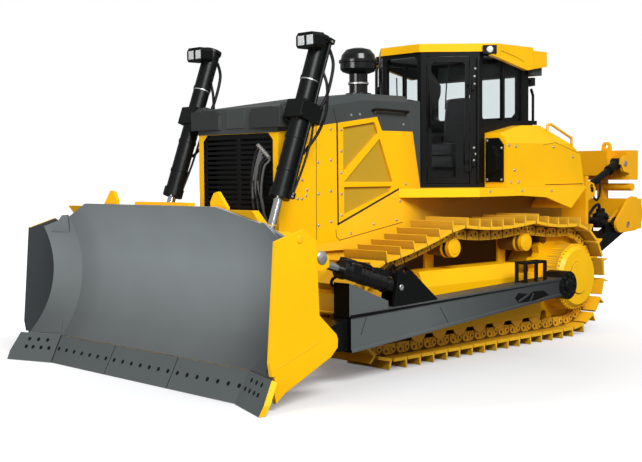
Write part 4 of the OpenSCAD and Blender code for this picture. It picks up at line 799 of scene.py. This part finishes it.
def off_wing(side, out, along, z):
    """A point in front of a wing of the blade: along it from the fold, in millimetres."""
    spot = wing_turn(side) @ Vector((out, side * along, 0))
    return at(fold_x + spot.x, side * fold_y + spot.y, z)


def bit_place(along, down, side):
    """A place on the face of an end bit: down it by a share of its height."""
    spot = off_wing(side, 24 + 148 * down, along, 289 - 285 * down)
    return spot, toward(wing_turn(side) @ Vector((285, 0, 148)))


def wing_place(along, z, side, out):
    """A point on the rolled face of a blade wing, raised off it by some millimetres."""
    bow = 695.5 - math.sqrt(1e6 - (z - 1003.5) ** 2)
    return off_wing(side, bow + out, along, z)


bolt_head = [(0.022, -0.004), (0.022, 0.0012)]
bolt_pitch = 152.4
edge_bolts = [(edge_place(bolt_pitch * k, 0.48), toward(edge_out)) for k in range(-10, 11)]
repeat("edge_bolts", turned(bolt_head, 18), edge_bolts, sunk_and_hole_shade, "blade")
bit_rows = [(0.22, x) for x in (150, 275, 400)] + [(0.5, x) for x in (100, 210, 320, 415)]
bit_bolts = [bit_place(x, down, side) for side in (1, -1) for down, x in bit_rows]
repeat("bit_bolts", turned(bolt_head, 18), bit_bolts, sunk_and_hole_shade, "blade")
edge_gaps = bmesh.new()
for top, low, wide in ((-533.3, -533.3, 4), (533.3, 533.3, 4), (-1594, -1567, 9), (1594, 1567, 9)):
    corners = ((-wide, 0.01), (wide, 0.01), (wide, 0.99), (-wide, 0.99))
    face = [edge_place(top + (low - top) * down + w, down) for w, down in corners]
    prism(edge_gaps, *([c + edge_out * height for c in face] for height in (-0.002, 0.0012)))
mesh_piece("edge_gaps", edge_gaps, sunk_and_hole_shade, "blade")
pads = bmesh.new()
for side in (1, -1):
    for outline in ([(300, 1400), (45, 1395), (-20, 1590), (60, 1585)], [(40, 303), (330, 300), (90, 450)]):
        prism(pads, *([wing_place(along, z, side, out) for along, z in outline] for out in (-14, 9)))
mesh_piece("corner_pads", pads, painted_light_blade_grey, "blade")
ball_cap = turned([(0.068, -0.01), (0.068, 0.008), (0.056, 0.022), (0.024, 0.032)], 28)
repeat("tilt_ball_caps", ball_cap, both_sides(1694, [(4586, 1240)]), zinc, "blade")
end_plate_y = 2070
strips("end_plate_welds", end_plate_y, [[(5470, 366), (4990, 540)]], 9, 1.2, shade_warmed_yellow, "blade")
repeat("end_plate_plugs", turned([(0.034, -0.003), (0.034, 0.004), (0.026, 0.007)], 24),
       both_sides(end_plate_y, [(5198, 1454)]), shade_warmed_yellow, "blade")


# Lift cylinders: hydraulic hoses loop from the yoke down each barrel, which a bright plated
# strap clasps, and two square work lamps look over the blade from each head.
def prism_lens():
    material, tree, shader = fresh_material("lamp_lens")
    cells = [("Vector", object_place(tree)), ("Scale", 60.0), ("Randomness", 0.15)]
    prisms = node(tree, "ShaderNodeTexVoronoi", cells).outputs["Distance"]
    tone = mix(tree, prisms, (0.86, 0.88, 0.88, 1), (0.35, 0.37, 0.38, 1))
    fill(tree, shader, [("Roughness", 0.12), ("Coat Weight", 0.6), ("Base Color", tone),
                        ("Normal", bumps(tree, 0.5, 0.004, prisms))])
    return material


lens = prism_lens()


def lens_block(size):
    bm = bmesh.new()
    bevelled_block(bm, Vector((-size / 2, -size / 2, -0.006)), Vector((size / 2, size / 2, 0.01)), 0.006)
    return bm


def along_cylinder(foot, front, s, rise):
    """The place function of a tilted cylinder: millimetres in front of, outside and up from its pin."""
    return lambda x, y, z: foot + front * x / 1000 + Vector((0, s * y / 1000, 0)) + rise * z / 1000


barrel_runs = (
    ("a", 0.017, [(-70, 100, 690), (-150, 120, 560), (-165, 130, 330), (-150, 125, 150), (-120, 90, 60)]),
    ("b", 0.015, [(-60, 110, 430), (-120, 150, 300), (-215, 120, 60), (-230, 60, -150), (-150, 60, -330),
                  (-85, 90, -420)]),
    ("c", 0.012, [(-60, 118, -840), (-75, 128, -700), (-95, 130, -500), (-110, 120, -250), (-120, 80, -80)]))
for s, side in ((1, "l"), (-1, "r")):
    barrel = "lift_barrel_" + side
    yoke = Vector(joints["lift_barrel_swing_" + side]["pos_m"])
    rise = -Vector(joints["lift_rod_slide_" + side]["axis"]).normalized()
    on_barrel = along_cylinder(yoke, Vector((rise.z, 0, -rise.x)), s, rise)

    def hose_side(x, y, z):
        return on_barrel(x, y if s > 0 else -0.5 * y, z)

    strap = turned([(0.0915, -0.008), (0.0945, -0.007), (0.0945, 0.007), (0.0915, 0.008)], 40, hollow=True)
    repeat("barrel_straps_" + side, strap, [(on_barrel(0, 0, 325), toward(rise))], zinc, barrel)
    lamp = on_barrel(125, 25, 705)
    lenses = [(lamp + Vector((0.077, s * y / 1000, 0.002)), toward((1, 0, 0))) for y in (-64, 64)]
    repeat("lift_lamp_lenses_" + side, lens_block(0.098), lenses, lens, barrel)
    for run, radius, points in barrel_runs:
        hose(f"barrel_hose_{run}_{side}", hose_side, points, radius, hose_rubber, barrel)
    nuts = [(on_barrel(-60, 114, z), toward((0, s, 0))) for z in (-850, -880, 770)]
    repeat("barrel_nuts_" + side, hex_screw(0.014), nuts, zinc, barrel)
    yoke_screws = [(on_barrel(x, 122, z), toward((0, s, 0))) for x in (-140, 85) for z in (-70, 70)]
    repeat("yoke_screws_" + side, hex_screw(0.012), yoke_screws, black, barrel)

# Tilt cylinders: black forged barrels with a bolted head and three rings. The pins are greased
# through their bright end caps, and two short hoses feed the valve block on each barrel.
tilt_boxes = (((560, -78, -62), (700, 78, 96), 0.022), ((690, -62, -50), (775, 62, 112), 0.018),
              ((600, -40, 90), (740, 40, 124), 0.012), ((300, -30, 62), (380, 30, 100), 0.012))
tilt_runs = (("hose", 0.013, [(340, 0, 98), (400, 6, 118), (500, 10, 120), (610, 6, 110)]),
             ("feed", 0.015, [(740, -40, -45), (790, -70, -100), (740, -120, -150), (620, -150, -150)]))
for s, side in ((1, "l"), (-1, "r")):
    tilt = "tilt_barrel_" + side
    foot = Vector(joints["tilt_barrel_swing_" + side]["pos_m"])
    reach = Vector(joints["tilt_rod_slide_" + side]["axis"]).normalized()
    above = Vector((-reach.z, 0, reach.x))
    on_tilt = along_cylinder(foot, reach, s, above)
    cap = turned([(0.03, -0.004), (0.03, 0.006), (0.024, 0.01), (0.009, 0.01), (0.009, 0.004)], 24)
    repeat("tilt_pin_cap_" + side, cap, [(on_tilt(0, 94, 0), toward((0, s, 0)))], zinc, tilt)
    head = bmesh.new()
    for low, high, bevel in tilt_boxes:
        bevelled_block(head, Vector(low) / 1000, Vector(high) / 1000, bevel)
    tilted = Matrix((reach, Vector((0, 1, 0)), above)).transposed().to_4x4()
    bmesh.ops.transform(head, matrix=Matrix.Translation(foot) @ tilted, verts=head.verts)
    mesh_piece("tilt_head_" + side, head, gloss_black, tilt)
    for run, radius, points in tilt_runs:
        hose(f"tilt_{run}_{side}", on_tilt, points, radius, hose_rubber, tilt)
    ring = turned([(0.06, -0.016), (0.083, -0.014), (0.083, 0.014), (0.06, 0.016)], 32)
    rings = [(on_tilt(x, 0, 0), toward(reach)) for x in (250, 430, 500)]
    repeat("tilt_rings_" + side, ring, rings, gloss_black, tilt)


# Push arms: black step frame and trunnion cap bolted on, a weld line across the box and a
# hand hole in its outer side, drawn as a near-black plate of painted shade. The front end and the
# forward faces of each arm are black as painted shade.
def arm_fitting_and_shade(c, n):
    """Faces of the step frame, the trunnion and the tilt bracket, and, as painted shade, the front end and
    forward faces of an arm.
    """
    x = c.x - axle_x
    step = 0.735 < c.z < 1.02 and 1.0 < x < 1.42
    trunnion = (x - trunnion_x / 1000) ** 2 + (c.z - trunnion_z / 1000) ** 2 < 0.168 ** 2
    bracket = c.z > 0.68 and 2.88 < x < 3.62
    return step or trunnion or bracket or x > 4.24 or n.x > 0.7


hole_outline = [(-0.31, 0.004), (-0.25, 0.054), (-0.04, 0.026), (0.03, 0.05), (0.22, 0.046), (0.33, -0.012),
                (0.02, -0.058), (-0.25, -0.056)]
for s, side in halves:
    finish_faces("push_arm_" + side, black, arm_fitting_and_shade)
    cap_ring = on_side(s, 1740, ring_of(trunnion_x, trunnion_z, 120, 8))
    repeat("trunnion_screws_" + side, hex_screw(0.015), cap_ring, black, "push_arms")
    cap = turned([(0.075, 0.0), (0.075, 0.012), (0.055, 0.026), (0.03, 0.028)], 28)
    repeat("trunnion_cap_" + side, cap, on_side(s, 1738, [(trunnion_x, trunnion_z)]), black, "push_arms")
    hole_turn = Matrix(((-s, 0, 0), (0, 0, s), (0, 1, 0))).to_euler()
    hole = plate(hole_outline, -0.004, 0.002)
    repeat("arm_hole_" + side, hole, [(at(1355, s * 1721, 628), hole_turn)], sunk_and_hole_shade, "push_arms")
arm_webs = [[(1590, 590), (1420, 650)], [(1330, 645), (1385, 578)]]
strips("arm_webs", 1722, arm_webs, 22, 1.5, shaded_arm_grey, "push_arms")
arm_welds = [[(2932, 639), (2810, 470)], [(4024, 638), (4095, 481)]]
strips("arm_welds", 1720, arm_welds, 6, 1.0, sunk_and_hole_shade, "push_arms")

# Cab: bright screws hold the hinge posts, a tube guards each post and black wipers rest on
# the panes. The roof is lined with dark felt inside, and round lamps look out from its sides.
liner = coated("roof_liner", (0.022, 0.023, 0.023), (0.04, 0.04, 0.04), roughness=0.8, edge=0.1, dusty_and_shaded=0.1)
finish_faces("cab_roof", liner, lambda c, n: (n.z < -0.5 and abs(c.y) < 0.86 and 0.1 < c.x - axle_x < 1.64)
             or (n.y * c.y < -0.1 and c.z < 3.45))
wall_angle = math.atan2(510, -465)
wall_along = Vector((math.cos(wall_angle), math.sin(wall_angle), 0))
wall_out = Vector((wall_along.y, -wall_along.x, 0))
post_points = [(622, 1, 2160), (640, 1, 2235), (622, 1, 2310), (630, 1, 3060), (630, 1, 3150), (640, 1, 3240)]
post_tube = [(672, 20, 1900), (672, 28, 2000), (672, 28, 2600), (672, 28, 3250), (672, 20, 3370)]
door_runs = (("pull", 0.013, [(108, -6, 2560), (108, 40, 2575), (108, 46, 2700), (108, 46, 2860),
                              (108, 40, 2935), (108, -6, 2950)]),
             ("wiper", 0.008, [(330, -8, 3310), (330, 6, 3290), (300, 8, 3050), (285, 6, 2760)]))
for s, side in halves:
    def on_wall(along, out, z):
        p = at(1610, 310, z) + wall_along * along / 1000 + wall_out * out / 1000
        return Vector((p.x, s * p.y, p.z))

    outward = toward((wall_out.x, s * wall_out.y, 0))
    repeat("post_screws_" + side, hex_screw(0.0085), [(on_wall(*p), outward) for p in post_points], zinc)
    hose("post_tube_" + side, on_wall, post_tube, 0.019, black)
    for run, radius, points in door_runs:
        hose(f"door_{run}_{side}", on_wall, points, radius, black, side + "_door")
screen_wiper = [(1618, 60, 2510), (1634, 40, 2560), (1636, -40, 2860), (1632, -60, 3160)]
hose("screen_wiper", at, screen_wiper, 0.008, black)
lamp_spots = []
for s in (1, -1):
    for x, y, z, angle in ((1075, 916, 3462, 42), (70, 790, 3135, 150)):
        out = Vector((math.cos(math.radians(angle)), s * math.sin(math.radians(angle)), 0))
        lamp_spots.append((at(x, s * y, z) + out * 0.009, toward(out)))
work_lens = turned([(0.038, -0.004), (0.038, 0.002), (0.03, 0.007), (0.014, 0.0095)], 28)
repeat("work_lamp_lenses", work_lens, lamp_spots, lens)

# Side tanks: welded boxes with a drain slot under the rear and plated screws at the corners,
# as also on the door stops and along the platform lips.
tank_y = 1150
tank_screws = [(884, 2320), (910, 2041), (830, 1900), (1020, 2330), (-300, 2200), (980, 1900), (120, 2320)]
repeat("tank_screws", hex_screw(0.012), both_sides(tank_y, tank_screws), zinc)
strips("tank_slots", tank_y, [[(290, 1860), (-520, 1862)]], 9, 1.2, joint_and_crease_dark)
# Painted shade: a thin dark line along the tank's crease, and a dark line along its lower edge.
tank_creases = [[(330, 2342), (76, 2375), (-430, 2247)], [(400, 1813), (-520, 1815)]]
strips("tank_crease", tank_y, tank_creases, 4, 1.0, joint_and_crease_dark)
stop_points = ((875, 1930), (1085, 1930), (875, 2390), (1085, 2300))
stop_screws = [(at(1075, s * y, z), toward((1, 0, 0))) for s in (1, -1) for y, z in stop_points]
repeat("door_stop_screws", hex_screw(0.011), stop_screws, zinc)
lip_screws = both_sides(1250, [(1500, 1800), (900, 1800), (300, 1790)])
repeat("lip_screws", hex_screw(0.011), lip_screws, zinc)

# Ripper: a cast valve block sits on each lower link with hoses looping to it, a second hose
# hangs from each upper link, and the pins show bright ends in the yellow plates.
valve_boxes = (
    ((-1440, 845, 1270), (-1190, 960, 1470), 0.035), ((-1560, 855, 1170), (-1400, 950, 1340), 0.03),
    ((-1225, 862, 1330), (-1060, 945, 1412), 0.03), ((-1390, 870, 1440), (-1250, 940, 1530), 0.02))
ripper_runs = (
    ("valve_hose_a_", 0.021, "ripper_link_frame", [
        (-1290, 905, 1520), (-1270, 910, 1575), (-1180, 915, 1560), (-1080, 915, 1490), (-1020, 905, 1400),
        (-1040, 900, 1300), (-1130, 900, 1250)]),
    ("valve_hose_b_", 0.026, "ripper_link_frame", [
        (-1100, 935, 1380), (-1000, 950, 1400), (-920, 960, 1370), (-890, 950, 1290), (-930, 930, 1200)]),
    ("link_hose_", 0.013, "ripper_upper_links", [
        (-1080, 930, 1835), (-1060, 950, 1750), (-1090, 955, 1670), (-1160, 950, 1640), (-1235, 945, 1720),
        (-1262, 935, 1850), (-1270, 925, 1920)]))
beam_y = 1021
for s, side in halves:
    here = half(s)
    block = bmesh.new()
    for low, high, bevel in valve_boxes:
        ends = here(*low), here(*high)
        bevelled_block(block, Vector(map(min, *ends)), Vector(map(max, *ends)), bevel)
    mesh_piece("valve_block_" + side, block, black, "ripper_link_frame")
    ports = on_side(s, 958, [(-1385, 1405), (-1250, 1340), (-1320, 1320)])
    port = turned([(0.034, -0.006), (0.034, 0.014), (0.022, 0.016), (0.022, 0.034), (0.012, 0.036)], 20)
    repeat("valve_ports_" + side, port, ports, black, "ripper_link_frame")
    port_cap = turned([(0.014, 0.03), (0.014, 0.042), (0.008, 0.045)], 12)
    repeat("valve_caps_" + side, port_cap, ports[:1], zinc, "ripper_link_frame")
    for run, radius, body, points in ripper_runs:
        hose(run + side, here, points, radius, hose_rubber, body)
    lock = turned([(0.026, -0.004), (0.026, 0.002)], 20)
    locks = on_side(s, beam_y, [(-1660, 1262), (-1600, 2085)])
    repeat("ripper_locks_" + side, lock, locks, sunk_and_hole_shade, "ripper_tool")
    pin = turned([(0.04, -0.004), (0.04, 0.006), (0.03, 0.01), (0.012, 0.01), (0.01, 0.004)], 24)
    beam_pins = on_side(s, beam_y, [(-1790, 1290), (-1740, 2120)])
    repeat("ripper_pins_" + side, pin, beam_pins, zinc, "ripper_tool")


# Stage: a pale seamless floor under soft studio light, seen from the height of a standing
# person ahead and to the left of the machine.
def seen_directly(tree):
    """1 for what the camera sees by itself or through glass, 0 for what lights or mirrors in the machine."""
    ray = node(tree, "ShaderNodeLightPath").outputs
    return maths(tree, "MAXIMUM", ray["Is Camera Ray"], ray["Is Transmission Ray"])


def pale_floor():
    material, tree, shader = fresh_material("pale_floor")
    seen = seen_directly(tree)
    # Painted shadow: for the camera the floor glows less toward a middle beside the machine's near side.
    shade_middle = (1.4, 1.7, 0.0)
    spots = [(0, object_place(tree)), (1, shade_middle)]
    far = node(tree, "ShaderNodeVectorMath", spots, operation="DISTANCE")
    glow_round_painted_shadow = remap(tree, far.outputs["Value"], 1.6, 9.0, 0.16, 1.0)
    tone = mix(tree, seen, (0.16, 0.16, 0.16, 1), (0.615, 0.62, 0.626, 1))
    fill(tree, shader, [("Roughness", 0.9), ("Specular IOR Level", 0.0), ("Base Color", tone),
                        ("Emission Color", (1, 1, 1, 1)),
                        ("Emission Strength", maths(tree, "MULTIPLY", seen, glow_round_painted_shadow))])
    return material


floor_bm = bmesh.new()
bmesh.ops.create_grid(floor_bm, x_segments=1, y_segments=1, size=90.0)
floor_mesh = bpy.data.meshes.new("floor")
floor_bm.to_mesh(floor_mesh)
floor_bm.free()
floor_mesh.materials.append(pale_floor())
floor = linked("floor", floor_mesh)

world = bpy.data.worlds.new("studio")
bpy.context.scene.world = world
world.use_nodes = True
sky = world.node_tree
level = node(sky, "ShaderNodeMix", [(0, seen_directly(sky)), (2, 0.36), (3, 1.0)])
fill(sky, sky.nodes["Background"].inputs, [("Strength", level.outputs[0]), ("Color", (1, 1, 1, 1))])


def soft_light(name, place, target, size, power):
    lamp = bpy.data.lights.new(name, "AREA")
    lamp.shape = "RECTANGLE"
    lamp.size, lamp.size_y = size
    lamp.energy = power
    light = linked(name, lamp)
    light.location = place
    light.rotation_mode = "QUATERNION"
    light.rotation_quaternion = (Vector(target) - Vector(place)).to_track_quat("-Z", "Y")


soft_light("key", (6.4, 13.6, 11.8), (0.0, 0.5, 1.4), (9.0, 7.0), 3500)
soft_light("front_fill", (18.0, 3.0, 3.2), (0.0, 0.0, 1.4), (8.0, 5.0), 1300)

photo_w = 642
focal_px = 1124.2
yaw, pitch, roll = math.radians(226.32), math.radians(2.938), math.radians(-0.439)
look = Vector((math.cos(yaw) * math.cos(pitch), math.sin(yaw) * math.cos(pitch), -math.sin(pitch)))
level_right = look.cross(Vector((0, 0, 1))).normalized()
level_up = level_right.cross(look)
right = level_right * math.cos(roll) + level_up * math.sin(roll)
up = level_up * math.cos(roll) - level_right * math.sin(roll)
camera = linked("camera", bpy.data.cameras.new("camera"))
camera.data.sensor_width = 36.0
camera.data.lens = camera.data.sensor_width * focal_px / photo_w
camera.data.clip_end = 400
camera.location = at(11719.5, 9161.9, 2019.7)
camera.rotation_mode = "QUATERNION"
camera.rotation_quaternion = Matrix((right, up, -look)).transposed().to_quaternion()
bpy.context.scene.camera = camera
bpy.context.scene.view_settings.view_transform = "Standard"
